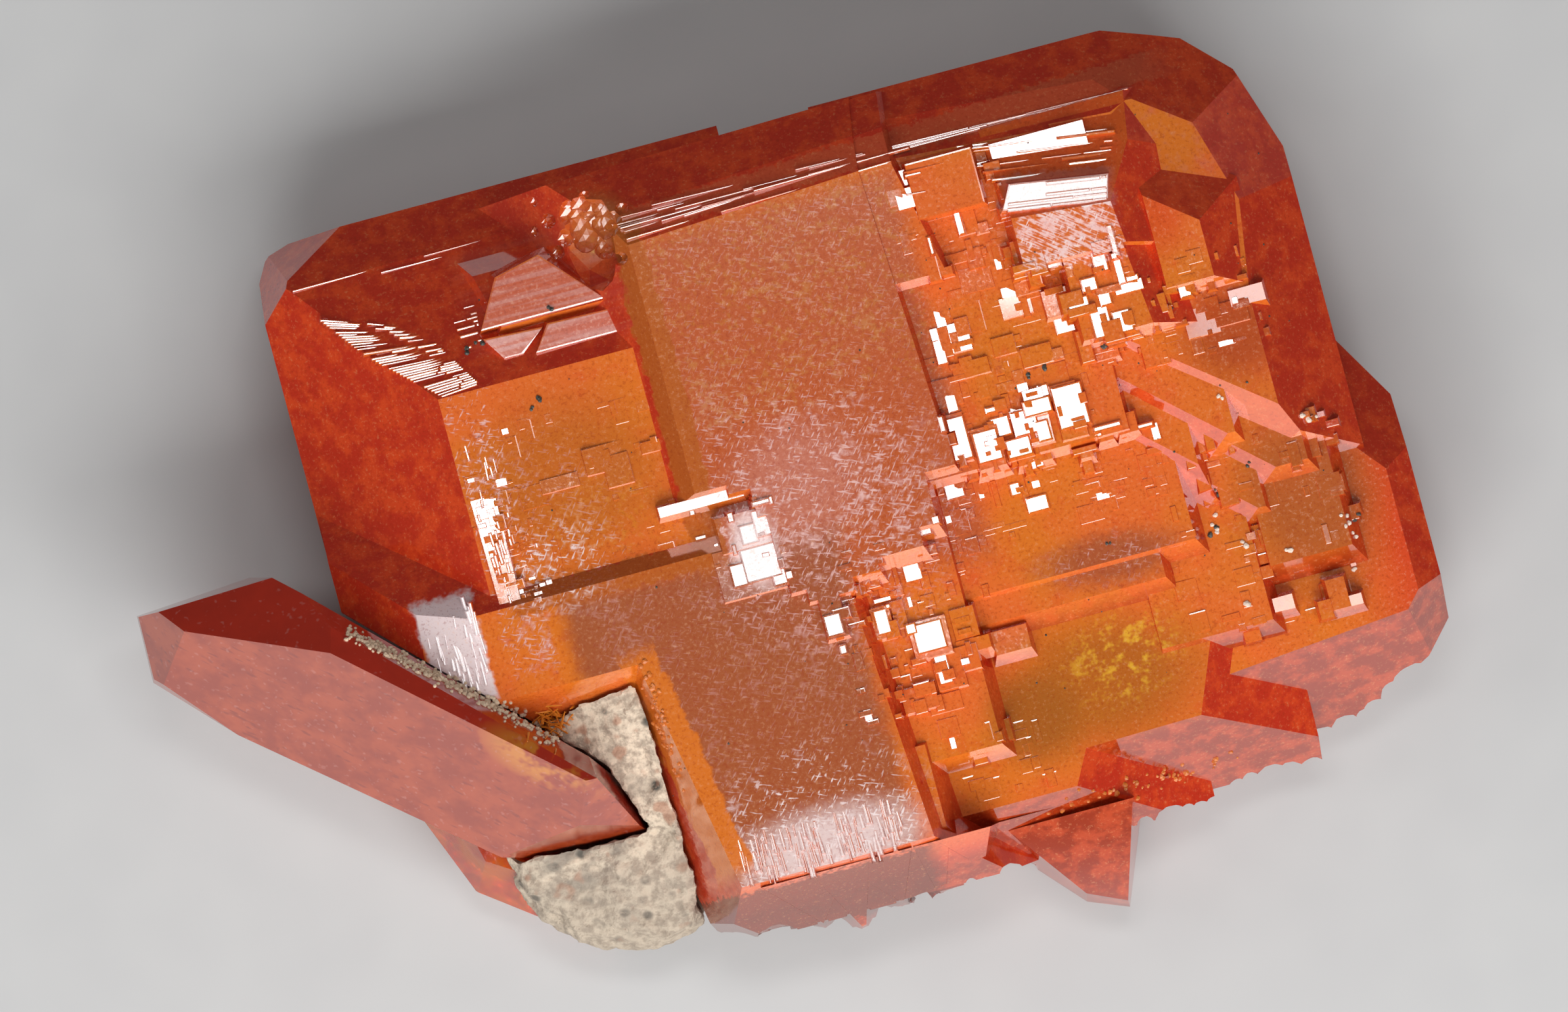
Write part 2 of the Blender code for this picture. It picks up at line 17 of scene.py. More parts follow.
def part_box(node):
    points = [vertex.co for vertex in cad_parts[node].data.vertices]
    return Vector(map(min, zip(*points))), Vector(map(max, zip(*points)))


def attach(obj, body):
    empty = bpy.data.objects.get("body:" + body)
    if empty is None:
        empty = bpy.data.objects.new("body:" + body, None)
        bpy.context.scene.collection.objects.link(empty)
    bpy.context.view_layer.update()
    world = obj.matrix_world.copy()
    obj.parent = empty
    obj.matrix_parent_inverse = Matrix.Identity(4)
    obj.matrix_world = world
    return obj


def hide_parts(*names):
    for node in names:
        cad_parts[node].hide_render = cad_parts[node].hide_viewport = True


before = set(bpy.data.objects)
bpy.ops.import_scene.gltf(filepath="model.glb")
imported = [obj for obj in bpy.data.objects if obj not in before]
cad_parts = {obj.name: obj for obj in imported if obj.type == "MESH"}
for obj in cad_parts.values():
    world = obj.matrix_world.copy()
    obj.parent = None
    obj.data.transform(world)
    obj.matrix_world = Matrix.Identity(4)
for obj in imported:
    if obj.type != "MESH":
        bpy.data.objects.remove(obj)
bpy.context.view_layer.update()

print("nodes:", sorted(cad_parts))

# %% [markdown]
# Crystals grow along their own axes, so it is easiest to think in the main crystal's axes: X and Y along its
# two equal axes, Z up out of its broad face, all in millimetres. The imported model's origin lies elsewhere, so
# the shift between the two is read from the main crystal's box. Pieces are modelled in millimetres, where
# Blender's operators work comfortably, and go to metres at the very end.

# %% The crystal's own axes
MM = 0.001
LEFT_SIDE, TOP_SIDE = -8.447, 6.974
main_low, main_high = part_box("main_crystal")
SHIFT = Vector((main_low.x / MM - LEFT_SIDE, main_high.y / MM - TOP_SIDE, 0.0))
TO_FRAME = Matrix.Scale(MM, 4) @ Matrix.Translation(SHIFT)
print("shift in mm:", [round(value, 3) for value in SHIFT])

# %% [markdown]
# The photograph looks straight down on the broad face, turned by 15 degrees. A long lens far away keeps the
# crystal's edges parallel, as a macro lens does. The camera's height follows from the width that it should
# see.

# %% Camera
PHOTO_TURN = math.radians(15.0)
PHOTO_WIDTH = 28.64
PHOTO_CENTRE = (-0.106, -0.096)
SHARP_HEIGHT = 4.6
LENS, SENSOR = 400.0, 36.0
camera_data = bpy.data.cameras.new("camera")
camera_data.lens = LENS
camera_data.sensor_width = SENSOR
camera_data.clip_start = 0.01
camera_data.clip_end = 5.0
camera = bpy.data.objects.new("camera", camera_data)
bpy.context.scene.collection.objects.link(camera)
camera.location = TO_FRAME @ Vector((*PHOTO_CENTRE, SHARP_HEIGHT + PHOTO_WIDTH * LENS / SENSOR))
camera.rotation_euler = (0.0, 0.0, -PHOTO_TURN)
bpy.context.scene.camera = camera
print("camera height in mm:", round(camera.location.z / MM, 1))

# %% [markdown]
# Wulfenite bends light almost as strongly as diamond, so each face is a small mirror, and what a face shows
# depends on where its mirrored line of sight ends. The lights are placed with that in mind. A small strong
# softbox stands just off the vertical, and faces that lean a few degrees to it flash white. A weaker one does
# the same for faces that lean the other way. A broad one lies towards the lower edge, where no large face
# mirrors it, and lights the colour of the stone, with a low card and a side light to fill in. The sky is
# nearly dark, which keeps the steep bevels deep red. The pale floor shows in the lower bevels as a pink
# sheen.

# %% Floor and lights
LIGHT_DISTANCE = 110.0
CARD_DISTANCE = 130.0
FLOOR_HALF = 130.0
FLOOR_GAP = 0.02
SKY_COLOUR, SKY_STRENGTH = (0.9, 0.95, 1.0, 1.0), 0.03


def direction(azimuth, from_vertical):
    """A unit vector; azimuth 0 is +X and 90 is +Y."""
    around, down = math.radians(azimuth), math.radians(from_vertical)
    return Vector((math.sin(down) * math.cos(around), math.sin(down) * math.sin(around), math.cos(down)))


def softbox(name, azimuth, from_vertical, size, radiance, distance=LIGHT_DISTANCE):
    """An area light given by its direction, its size in mm and its own brightness."""
    light = bpy.data.lights.new(name, "AREA")
    light.shape = "RECTANGLE"
    light.size, light.size_y = size[0] * MM, size[1] * MM
    light.energy = radiance * math.pi * light.size * light.size_y
    item = bpy.data.objects.new(name, light)
    towards = direction(azimuth, from_vertical)
    item.location = towards * distance * MM
    item.rotation_euler = towards.to_track_quat("Z", "Y").to_euler()
    bpy.context.scene.collection.objects.link(item)
    print(name, "watts:", round(light.energy, 4))


softbox("glint_box", 75.0, 13.0, (34.0, 15.0), 12.0)
softbox("edge_box", 345.0, 14.0, (30.0, 12.0), 3.5)
softbox("broad_box", 268.0, 46.0, (150.0, 78.0), 5.1)
softbox("low_card", 245.0, 79.0, (170.0, 26.0), 0.8, CARD_DISTANCE)
softbox("side_box", 150.0, 50.0, (40.0, 80.0), 2.0)

world = bpy.data.worlds.new("studio")
world.use_nodes = True
world.node_tree.nodes["Background"].inputs["Color"].default_value = SKY_COLOUR
world.node_tree.nodes["Background"].inputs["Strength"].default_value = SKY_STRENGTH
bpy.context.scene.world = world
bpy.context.scene.view_settings.view_transform = "Standard"

bpy.ops.mesh.primitive_plane_add(size=2 * FLOOR_HALF * MM, location=(0.0, 0.0, -FLOOR_GAP * MM))
floor = bpy.context.object
floor.name = "floor"

# %% [markdown]
# A material here is a recipe of nodes. Wiring them by hand takes many lines, so two small helpers do it. A
# Wire stands for one socket, and sums and products of wires add Math nodes. A Recipe makes every other node
# from its type, its settings and what goes into its sockets.

# %% Helpers for materials
class Wire:
    """A number that comes out of a node's socket; arithmetic on it adds Math nodes."""

    def __init__(self, recipe, socket):
        self.recipe = recipe
        self.socket = socket

    def maths(self, operation, first, second):
        return self.recipe.node("ShaderNodeMath", {"operation": operation}, {0: first, 1: second})

    def __add__(self, other):
        return self.maths("ADD", self, other)

    def __sub__(self, other):
        return self.maths("SUBTRACT", self, other)

    def __rsub__(self, other):
        return self.maths("SUBTRACT", other, self)

    def __mul__(self, other):
        return self.maths("MULTIPLY", self, other)

    def __truediv__(self, other):
        return self.maths("DIVIDE", self, other)

    def __abs__(self):
        return self.maths("ABSOLUTE", self, 0.0)

    def __neg__(self):
        return self.maths("MULTIPLY", self, -1.0)

    def most(self, other):
        return self.maths("MAXIMUM", self, other)

    __radd__ = __add__
    __rmul__ = __mul__


class Recipe:
    """One material with its Principled shader, and a method that adds any node."""

    def __init__(self, name):
        self.material = bpy.data.materials.new(name)
        self.material.use_nodes = True
        self.tree = self.material.node_tree
        self.shader = self.tree.nodes["Principled BSDF"]

    def node(self, kind, settings=None, sockets=None, output=0):
        item = self.tree.nodes.new(kind)
        for name, value in (settings or {}).items():
            setattr(item, name, value)
        for name, value in (sockets or {}).items():
            self.feed(item.inputs[name], value)
        return Wire(self, item.outputs[output])

    def feed(self, socket, value):
        if isinstance(value, Wire):
            self.tree.links.new(value.socket, socket)
        elif isinstance(value, tuple) and socket.type == "RGBA":
            socket.default_value = (*value, 1.0)
        else:
            socket.default_value = value

    def set(self, **values):
        """Sets or links the shader's sockets; an underscore in a name stands for a space."""
        for name, value in values.items():
            self.feed(self.shader.inputs[name.replace("_", " ")], value)

    def split(self, vector):
        """The three numbers of a vector."""
        parts = self.node("ShaderNodeSeparateXYZ", None, {0: vector}).socket.node
        return [Wire(self, socket) for socket in parts.outputs]

    def join(self, x, y, z):
        return self.node("ShaderNodeCombineXYZ", None, {0: x, 1: y, 2: z})

    def ramp(self, value, low, high, most=1.0):
        """0 below low, the most above high, a smooth rise between; where high is the lower one, a fall."""
        sockets = {"Value": value, "From Min": low, "From Max": high, "To Max": most}
        return self.node("ShaderNodeMapRange", {"interpolation_type": "SMOOTHSTEP"}, sockets)

    def mix(self, mask, first, second):
        """The first colour where the mask is 0 and the second where it is 1."""
        return self.node("ShaderNodeMix", {"data_type": "RGBA"}, {0: mask, 6: first, 7: second}, output=2)

    def blend(self, mask, first, second):
        """The same for two numbers."""
        return self.node("ShaderNodeMix", {"data_type": "FLOAT"}, {0: mask, 2: first, 3: second})

    def noise(self, where, scale, detail=1.0, rough=0.55):
        sockets = {"Vector": where, "Scale": scale, "Detail": detail, "Roughness": rough}
        return self.node("ShaderNodeTexNoise", None, sockets)

    def cells(self, where, scale):
        """The distance to the nearest of many scattered points."""
        return self.node("ShaderNodeTexVoronoi", None, {"Vector": where, "Scale": scale})

    def local(self, where, middle, half, turn):
        """Coordinates that run from -1 to 1 across a turned rectangle of the plan."""
        if turn == 0.0:
            scale = (1 / half[0], 1 / half[1], 0.001)
            move = (-middle[0] / half[0], -middle[1] / half[1], 0.0)
            sockets = {0: where, 1: scale, 2: move}
            return self.node("ShaderNodeVectorMath", {"operation": "MULTIPLY_ADD"}, sockets)
        sockets = {"Location": (*middle, 0.0), "Scale": (*half, 1000.0)}
        sockets["Rotation"] = (0.0, 0.0, math.radians(turn))
        return self.node("ShaderNodeMapping", {"vector_type": "TEXTURE"}, {"Vector": where, **sockets})

    def patch(self, where, middle, half, turn=0.0, most=1.0, soft=0.1):
        """The most inside a turned rectangle of the plan, falling to 0 across its border."""
        inner = self.local(where, middle, half, turn)
        inner = self.node("ShaderNodeVectorMath", {"operation": "ABSOLUTE"}, {0: inner})
        across, along, _ = self.split(inner)
        return self.ramp(across.most(along), 1 + soft, 1 - soft, most)

    def spot(self, where, middle, half, turn=0.0, most=1.0):
        """The most in the middle of an ellipse of the plan, fading to 0 at its border."""
        inner = self.local(where, middle, half, turn)
        length = self.node("ShaderNodeVectorMath", {"operation": "LENGTH"}, {0: inner}, output=1)
        return self.ramp(length, 1.0, 0.3, most)

    def streaks(self, where, turn, length, thickness):
        """A noise drawn out along one direction of the plan, like fine scratches."""
        sockets = {"Rotation": (0.0, 0.0, math.radians(turn)), "Scale": (length, thickness, thickness)}
        drawn = self.node("ShaderNodeMapping", {"vector_type": "TEXTURE"}, {"Vector": where, **sockets})
        return self.noise(drawn, 1.0)

    def bump(self, height, distance, strength):
        sockets = {"Height": height, "Distance": distance * MM, "Strength": strength}
        return self.node("ShaderNodeBump", None, sockets)

    def places(self):
        """The crystal's own coordinates in mm, as one vector and as three numbers."""
        where = self.node("ShaderNodeTexCoord", output=3)
        sockets = {"Vector": where, "Scale": (1 / MM,) * 3, "Location": tuple(-SHIFT)}
        where = self.node("ShaderNodeMapping", {"vector_type": "POINT"}, sockets)
        return where, *self.split(where)

    def facing(self):
        """The direction that the flat face looks in, as three numbers."""
        return self.split(self.node("ShaderNodeNewGeometry", output=3))


def paint(item, recipe):
    item.data.materials.clear()
    item.data.materials.append(recipe.material)


def report(recipe):
    print(recipe.material.name, "nodes:", len(recipe.tree.nodes))


# %% Floor finish
floor_paint = Recipe("floor_paint")
where, x, y, z = floor_paint.places()
grain = floor_paint.noise(where, 0.6)
floor_paint.set(Base_Color=floor_paint.mix(grain, (0.50, 0.50, 0.50), (0.54, 0.54, 0.535)), Roughness=0.9)
paint(floor, floor_paint)
report(floor_paint)

# %% [markdown]
# Wulfenite is a clear to cloudy orange-red stone. Its colour deepens where light has a long way to go, so the
# bevels round the rim are dark red and the broad faces over cloudy patches are golden. A real depth of clouds
# would need a scattering volume, which renders slowly and can't be passed on. So the stone is part solid
# colour, painted in zones by place and by the way a face looks, and part clear, with its true bending of
# light.

# %% The stone's colours
BEND_OF_LIGHT = 2.35
DEPTH_COLOUR, DEPTH_DENSITY = (0.95, 0.35, 0.06), 450.0
DEEP = (0.58, 0.034, 0.011)
RED = (0.74, 0.068, 0.014)
ORANGE = (0.84, 0.160, 0.026)
AMBER = (0.78, 0.190, 0.017)
GOLD = (0.58, 0.145, 0.014)
BRIGHT_GOLD = (0.86, 0.46, 0.03)
SUNNY = (0.74, 0.24, 0.018)
TAWNY = (0.62, 0.200, 0.020)
HONEY = (0.56, 0.140, 0.014)
OLD_GOLD = (0.50, 0.130, 0.010)
DARK_GOLD = (0.40, 0.115, 0.012)
BROWN = (0.54, 0.100, 0.022)
SADDLE = (0.52, 0.120, 0.014)
DULL = (0.38, 0.090, 0.026)
COCOA = (0.36, 0.085, 0.030)
COPPER = (0.46, 0.065, 0.012)
RUST = (0.46, 0.100, 0.014)
FADED_RED = (0.62, 0.095, 0.034)
ROSE = (0.62, 0.085, 0.026)
DUSTY_ROSE = (0.72, 0.36, 0.33)
MAUVE = (0.66, 0.31, 0.27)
# a pale for frost, and for painted highlights where steps flash
PALE_FROST_AND_SHEEN = (0.82, 0.66, 0.64)
# a white that stands for a painted glint
GLINT_WHITE = (0.88, 0.80, 0.82)
# a darker red for painted shade on faces that look down towards the floor
SHADED_RED = (0.32, 0.030, 0.006)
SHADE = (0.17, 0.026, 0.008)


def stone_recipe(name, clearness, depth_colour=DEPTH_COLOUR, density=DEPTH_DENSITY):
    """A finish with what all the crystals share: the bending of light, and the tint that grows with depth."""
    recipe = Recipe(name)
    recipe.set(IOR=BEND_OF_LIGHT, Transmission_Weight=clearness, Metallic=0.0)
    absorb = recipe.node("ShaderNodeVolumeAbsorption", None, {"Color": depth_colour, "Density": density})
    recipe.tree.links.new(absorb.socket, recipe.tree.nodes["Material Output"].inputs["Volume"])
    return recipe


# %% [markdown]
# The main crystal's finish starts with a set of noises: slow clouds, finer mottles, dust, and two directions
# of short hairs. Mixed with one another they make the textures that break up its frosted places. A noise's
# scale is how many of its waves fit in a millimetre.

# %% Textures of the main crystal
stone = stone_recipe("wulfenite", 0.08)
where, x, y, z = stone.places()
face_x, face_y, face_z = stone.facing()
clouds = stone.noise(where, 0.42, 2.0, 0.6)
fine = stone.noise(where, 2.4, 3.0, 0.65)
dust = stone.noise(where, 8.0, 1.0, 0.7)
grit = stone.noise(where, 15.0, 2.0, 0.75)
hairs = stone.streaks(where, 52.0, 0.16, 0.036).most(stone.streaks(where, -20.0, 0.19, 0.040))
hairs = stone.ramp(hairs, 0.56, 0.76)
scratches = stone.streaks(where, -38.0, 0.45, 0.030)
grooves = stone.noise(stone.join(x * 0.3, y * 9.0, 0.0), 1.0)
textures = {
    "hairs": hairs,
    "speckle": stone.ramp(dust * 0.5 + fine * 0.5, 0.46, 0.66),
    "frost": stone.ramp(hairs * 0.30 + dust * 0.50 + fine * 0.50 + (clouds - 0.5) * 0.5, 0.50, 0.84),
    "scratched": stone.ramp(scratches * 0.45 + dust * 0.30 + fine * 0.25, 0.44, 0.58),
    "grooves": stone.ramp(grooves, 0.42, 0.62),
}
report(stone)

# %% [markdown]
# The ground colours follow from the shape. Broad flat faces are orange to amber and turn red towards the rim.
# Slopes are deep red, and the low ones that look down towards the lower edge are painted darker still, a
# painted shade under the pale sheen that the floor's reflection adds there. Slopes that lean just a little
# towards the upper edge are striated, which shows as a rougher finish.

# %% Ground colours of the main crystal
PLAN_MIDDLE, PLAN_HALF = (1.37, -0.3), (9.85, 7.3)
flat = stone.ramp(face_z, 0.95, 0.99)
slope = 1 - flat
to_side = abs(x - PLAN_MIDDLE[0]) / PLAN_HALF[0]
to_edge = abs(y - PLAN_MIDDLE[1]) / PLAN_HALF[1]
rim = stone.ramp(to_side.most(to_edge) + (clouds - 0.5) * 0.12, 0.80, 0.97)
colour = stone.mix(stone.ramp(clouds, 0.38, 0.64), ORANGE, AMBER)
colour = stone.mix(stone.ramp(fine, 0.50, 0.75) * 0.4, colour, RED)
colour = stone.mix(rim, colour, RED)
bevels = stone.mix(stone.ramp(fine, 0.40, 0.65), DEEP, RED)
colour = stone.mix(slope * stone.ramp(abs(face_x).most(face_y), 0.3, 0.5), colour, bevels)
# Painted shade: low slopes that look towards the lower edge get a darker red, under the floor's real
# reflection.
under = stone.mix(stone.ramp(fine, 0.42, 0.62), SHADED_RED, (0.52, 0.060, 0.012))
colour = stone.mix(slope * stone.ramp(-face_y, 0.3, 0.6) * stone.ramp(z, 4.9, 3.9), colour, under)
leaning = stone.ramp(face_y, 0.05, 0.12) * (1 - stone.ramp(face_y, 0.3, 0.4))
rough = 0.05 + fine * 0.04 + slope * leaning * 0.20
report(stone)

# %% [markdown]
# Over the ground come patches of the plan. Each row holds its kind and place, its half width and half height,
# its turn, its colour there and how much of it, how rough the face is, and which texture breaks it up. A
# rough face scatters the small softbox into a pale bloom, just as scratches do on the real stone, so one
# number makes both the look and the cause of a frosted place. Most patches stay on flat faces; the rows that
# say "all" take in the slopes as well.

# %% Patches of the main crystal
PATCHES = [
    # the tall plate in the middle, and the lobe below it, with their frosted middles, and the lobe's pale foot:
    # frost with a painted highlight over its flashing streaks
    ("patch", (0.90, 1.70), (2.45, 3.60), 0.0, BROWN, 0.92, 0.12, None),
    ("patch", (-1.90, -3.70), (2.60, 3.00), 0.0, DULL, 0.92, 0.14, None),
    ("patch", (0.90, 1.70), (2.45, 3.60), 0.0, MAUVE, 0.38, 0.24, "frost"),
    ("spot", (0.50, -0.30), (3.00, 3.60), 20.0, MAUVE, 0.95, 0.36, "frost"),
    ("spot", (0.20, 0.20), (1.80, 1.60), 20.0, MAUVE, 0.25, 0.30, None),
    ("patch", (-1.70, -3.70), (2.30, 3.00), 0.0, MAUVE, 0.36, 0.24, "frost"),
    ("spot", (-0.90, -5.90), (2.70, 1.90), 0.0, PALE_FROST_AND_SHEEN, 1.00, 0.42, "frost"),
    ("spot", (-0.90, -6.30), (2.40, 1.00), 0.0, PALE_FROST_AND_SHEEN, 0.70, 0.44, None),
    ("patch", (-1.00, -6.30), (1.70, 0.55), 0.0, PALE_FROST_AND_SHEEN, 0.95, 0.38, "hairs"),
    # the golden left plate and the ledges above it
    ("spot", (-3.80, 1.40), (2.60, 2.20), 0.0, GOLD, 0.85, 0.08, None),
    ("spot", (-3.40, 0.60), (1.80, 1.20), 0.0, SUNNY, 0.70, 0.08, "speckle"),
    ("patch", (-3.30, 4.80), (1.60, 1.10), 0.0, ROSE, 0.90, 0.17, None),
    ("patch", (-3.30, 4.80), (1.60, 1.10), 0.0, MAUVE, 0.40, 0.24, "grooves"),
    # the band along the upper edge
    ("patch", (3.40, 5.78), (5.20, 0.26), 2.0, FADED_RED, 0.80, 0.14, "all"),
    # the knob at the upper right: a scratched face, a white wedge whose pale tint is a painted highlight over
    # the flashing slab, and red and mauve beside them
    ("patch", (6.20, 3.40), (0.95, 0.62), -6.0, DUSTY_ROSE, 0.80, 0.36, "scratched"),
    ("patch", (6.20, 3.40), (0.95, 0.62), -6.0, PALE_FROST_AND_SHEEN, 0.70, 0.42, "frost"),
    ("patch", (6.20, 4.18), (1.00, 0.34), -10.0, PALE_FROST_AND_SHEEN, 0.90, 0.26, None),
    ("spot", (7.70, 3.60), (0.90, 1.50), 0.0, RED, 0.70, 0.06, None),
    ("spot", (8.60, 4.40), (1.10, 1.60), 30.0, MAUVE, 0.45, 0.26, "speckle"),
    # the right side and the golden window near the lower edge
    ("spot", (8.70, 0.90), (1.50, 1.40), 0.0, COPPER, 0.85, 0.08, None),
    ("spot", (4.70, -4.70), (2.60, 1.70), 0.0, OLD_GOLD, 0.95, 0.09, None),
    ("spot", (3.30, -5.00), (1.20, 1.20), 0.0, DARK_GOLD, 0.85, 0.08, None),
    ("spot", (5.20, -4.30), (1.50, 1.10), 20.0, BRIGHT_GOLD, 0.80, 0.10, "speckle"),
    ("spot", (9.20, -2.30), (1.80, 2.40), 0.0, RUST, 0.90, 0.10, None),
    ("spot", (5.40, -2.55), (1.90, 0.70), -4.0, COCOA, 0.80, 0.09, None),
    ("spot", (5.40, -2.55), (1.70, 0.60), -4.0, MAUVE, 0.75, 0.24, "frost"),
    ("patch", (10.30, 2.00), (0.60, 3.40), 0.0, DEEP, 0.85, 0.06, None),
    # painted highlights on the white striated arm, whose streaks also flash, and on a pale chip among flashing
    # steps; the dark stretch of the lower bevel, painted shade
    ("patch", (-6.60, -1.10), (0.55, 1.00), 0.0, GLINT_WHITE, 0.85, 0.30, "all"),
    ("spot", (-0.80, -0.70), (0.55, 0.95), 0.0, PALE_FROST_AND_SHEEN, 0.85, 0.30, None),
    ("patch", (-1.40, -7.25), (2.30, 0.50), 0.0, SHADE, 0.85, 0.10, "all"),
    # the yellow chip in the upper edge
    ("spot", (-2.10, 5.75), (0.80, 0.80), 30.0, HONEY, 0.85, 0.34, "all"),
    ("spot", (-2.10, 5.75), (0.75, 0.75), 30.0, BRIGHT_GOLD, 1.00, 0.28, "speckle"),
    # golden mottles at the top of the tall plate, and the plates' low walls
    ("patch", (0.90, 3.60), (2.45, 2.00), 0.0, TAWNY, 0.60, 0.10, "speckle"),
    ("patch", (-1.62, 2.40), (0.30, 3.30), 0.0, SADDLE, 0.90, 0.10, "all"),
    ("patch", (-3.50, -0.55), (1.90, 0.26), 0.0, SADDLE, 0.85, 0.10, "all"),
    # frost on the left plate's lower left corner
    ("patch", (-5.25, 0.80), (0.45, 2.60), 0.0, MAUVE, 0.90, 0.34, "frost"),
    ("spot", (-4.30, -0.05), (1.50, 1.10), 0.0, PALE_FROST_AND_SHEEN, 0.95, 0.34, "frost"),
    ("spot", (-4.20, 1.30), (1.60, 1.60), 0.0, MAUVE, 0.55, 0.24, "frost"),
    # the amber rim beside the rock
    ("patch", (-3.05, -4.20), (0.36, 2.20), 10.0, AMBER, 0.90, 0.10, "all"),
]
ON_SLOPES = 0.12
BORDER_WAVES = (0.4, 0.25)
BORDER_SHIFT = (0.20, 0.12)

waves = stone.join(fine * BORDER_WAVES[0], dust * BORDER_WAVES[1], 0.0)
bent = stone.node("ShaderNodeVectorMath", {"operation": "ADD"}, {0: where, 1: waves})
mostly_flat = flat.most(ON_SLOPES)
for kind, middle, half, turn, tint, amount, roughness, texture in PATCHES:
    place = (middle[0] + BORDER_SHIFT[0], middle[1] + BORDER_SHIFT[1])
    mask = getattr(stone, kind)(bent, place, half, turn, amount)
    if texture != "all":
        mask = mask * mostly_flat
    if texture in textures:
        mask = mask * textures[texture]
    colour = stone.mix(mask, colour, tint)
    rough = stone.blend(mask, rough, roughness)
report(stone)

# %% [markdown]
# Last comes grit: light and dark specks a few hundredths of a millimetre wide, all over the crystal.

# %% Grit of the main crystal
LIGHT_GRIT, DARK_GRIT = (0.86, 0.40, 0.16), (0.34, 0.030, 0.006)
colour = stone.mix(stone.ramp(grit, 0.56, 0.72) * (0.10 + fine * 0.25), colour, LIGHT_GRIT)
colour = stone.mix(stone.ramp(grit, 0.46, 0.32) * 0.35, colour, DARK_GRIT)
rough = rough + stone.ramp(grit, 0.52, 0.64) * flat * 0.05
stone.set(Base_Color=colour, Roughness=rough)
report(stone)

# %% [markdown]
# The side crystal leans, so its upper bevel mirrors the dark sky and is deep red, while the long face towards
# the floor is washed with pink by the floor's reflection, over a darker red that is painted shade. Dark flecks
# run along it, and a honey-coloured patch lies near its point. The small lower crystal is the clearest of the
# three, and glows orange where the floor shines through it.

# %% The smaller crystals' finish
side_stone = stone_recipe("wulfenite_side", 0.10)
where, x, y, z = side_stone.places()
face_x, face_y, face_z = side_stone.facing()
mottles = side_stone.noise(where, 1.3, 3.0, 0.65)
flecks = side_stone.ramp(side_stone.streaks(where, -44.0, 0.32, 0.10), 0.60, 0.72)
dust = side_stone.noise(where, 8.0, 1.0, 0.7)
to_floor = side_stone.ramp(-(face_x * 0.6 + face_y * 0.8), 0.1, 0.4)
colour = side_stone.mix(mottles, (0.36, 0.024, 0.010), DEEP)
# Painted shade: the face towards the floor gets a darker red than the rest.
front = side_stone.mix(side_stone.ramp(mottles, 0.35, 0.65), SHADED_RED, (0.44, 0.060, 0.014))
front = side_stone.mix(flecks * side_stone.ramp(mottles, 0.42, 0.5) * 0.55, front, (0.20, 0.012, 0.006))
colour = side_stone.mix(to_floor, colour, front)
honey = side_stone.spot(where, (-5.6, -3.4), (1.5, 0.55), -42.0) * side_stone.ramp(mottles, 0.48, 0.60)
colour = side_stone.mix(honey, colour, TAWNY)
colour = side_stone.mix(side_stone.ramp(dust, 0.62, 0.75) * 0.22, colour, MAUVE)
side_stone.set(Base_Color=colour, Roughness=0.06 + to_floor * 0.08 + dust * 0.05)
side_stone.set(Normal=side_stone.bump(mottles * 0.6 + dust * 0.15, 0.02, 0.25))
report(side_stone)

glow_stone = stone_recipe("wulfenite_lower", 0.6, (0.99, 0.42, 0.05), 420.0)
where, x, y, z = glow_stone.places()
mottles = glow_stone.noise(where, 1.4, 3.0, 0.65)
glow_stone.set(Base_Color=glow_stone.mix(glow_stone.ramp(mottles, 0.4, 0.7), (0.95, 0.20, 0.012), RED))
glow_stone.set(Roughness=0.05 + mottles * 0.1, Normal=glow_stone.bump(mottles, 0.05, 0.4))
report(glow_stone)


# %% [markdown]
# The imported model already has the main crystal's plates. Its mesh is loose triangles, so a copy is merged
# before anything is modelled on it, and taken to millimetres.

# %% Helpers for modelling
def only(item):
    """Leaves just this object selected, and active."""
    bpy.ops.object.select_all(action="DESELECT")
    item.select_set(True)
    bpy.context.view_layer.objects.active = item


def apply(item, kind, **settings):
    """Adds a modifier and applies it."""
    only(item)
    modifier = item.modifiers.new(kind.lower(), kind)
    for name, value in settings.items():
        setattr(modifier, name, value)
    bpy.ops.object.modifier_apply(modifier=modifier.name)


def copy_of_node(node, name):
    """A node's surface as one closed mesh, in mm along the crystal's axes."""
    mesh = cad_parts[node].data.copy()
    mesh.name = name
    item = bpy.data.objects.new(name, mesh)
    bpy.context.scene.collection.objects.link(item)
    mesh.transform(TO_FRAME.inverted())
    only(item)
    bpy.ops.object.mode_set(mode="EDIT")
    bpy.ops.mesh.select_all(action="SELECT")
    bpy.ops.mesh.remove_doubles(threshold=0.001)
    bpy.ops.mesh.customdata_custom_splitnormals_clear()
    bpy.ops.mesh.faces_shade_flat()
    bpy.ops.object.mode_set(mode="OBJECT")
    print(name, "faces:", len(mesh.polygons))
    return item


def twin(item):
    """A second object with a mesh of its own."""
    made = item.copy()
    made.data = item.data.copy()
    bpy.context.scene.collection.objects.link(made)
    return made


def settle(item, recipe, slot=None, *nodes):
    """Takes a finished piece to metres, gives it its finish and fixes it to the frame."""
    item.data.transform(TO_FRAME)
    item.data.update()
    paint(item, recipe)
    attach(item, "root")
    if nodes:
        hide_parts(*nodes)


def surface(item):
    """A function that gives the height of the item's surface under a point of the plan, or None."""
    bpy.context.view_layer.update()
    tree = BVHTree.FromObject(item, bpy.context.evaluated_depsgraph_get())

    def height(x, y):
        hit = tree.ray_cast(Vector((x, y, 30.0)), Vector((0.0, 0.0, -1.0)))
        return None if hit[0] is None else hit[0].z

    return height


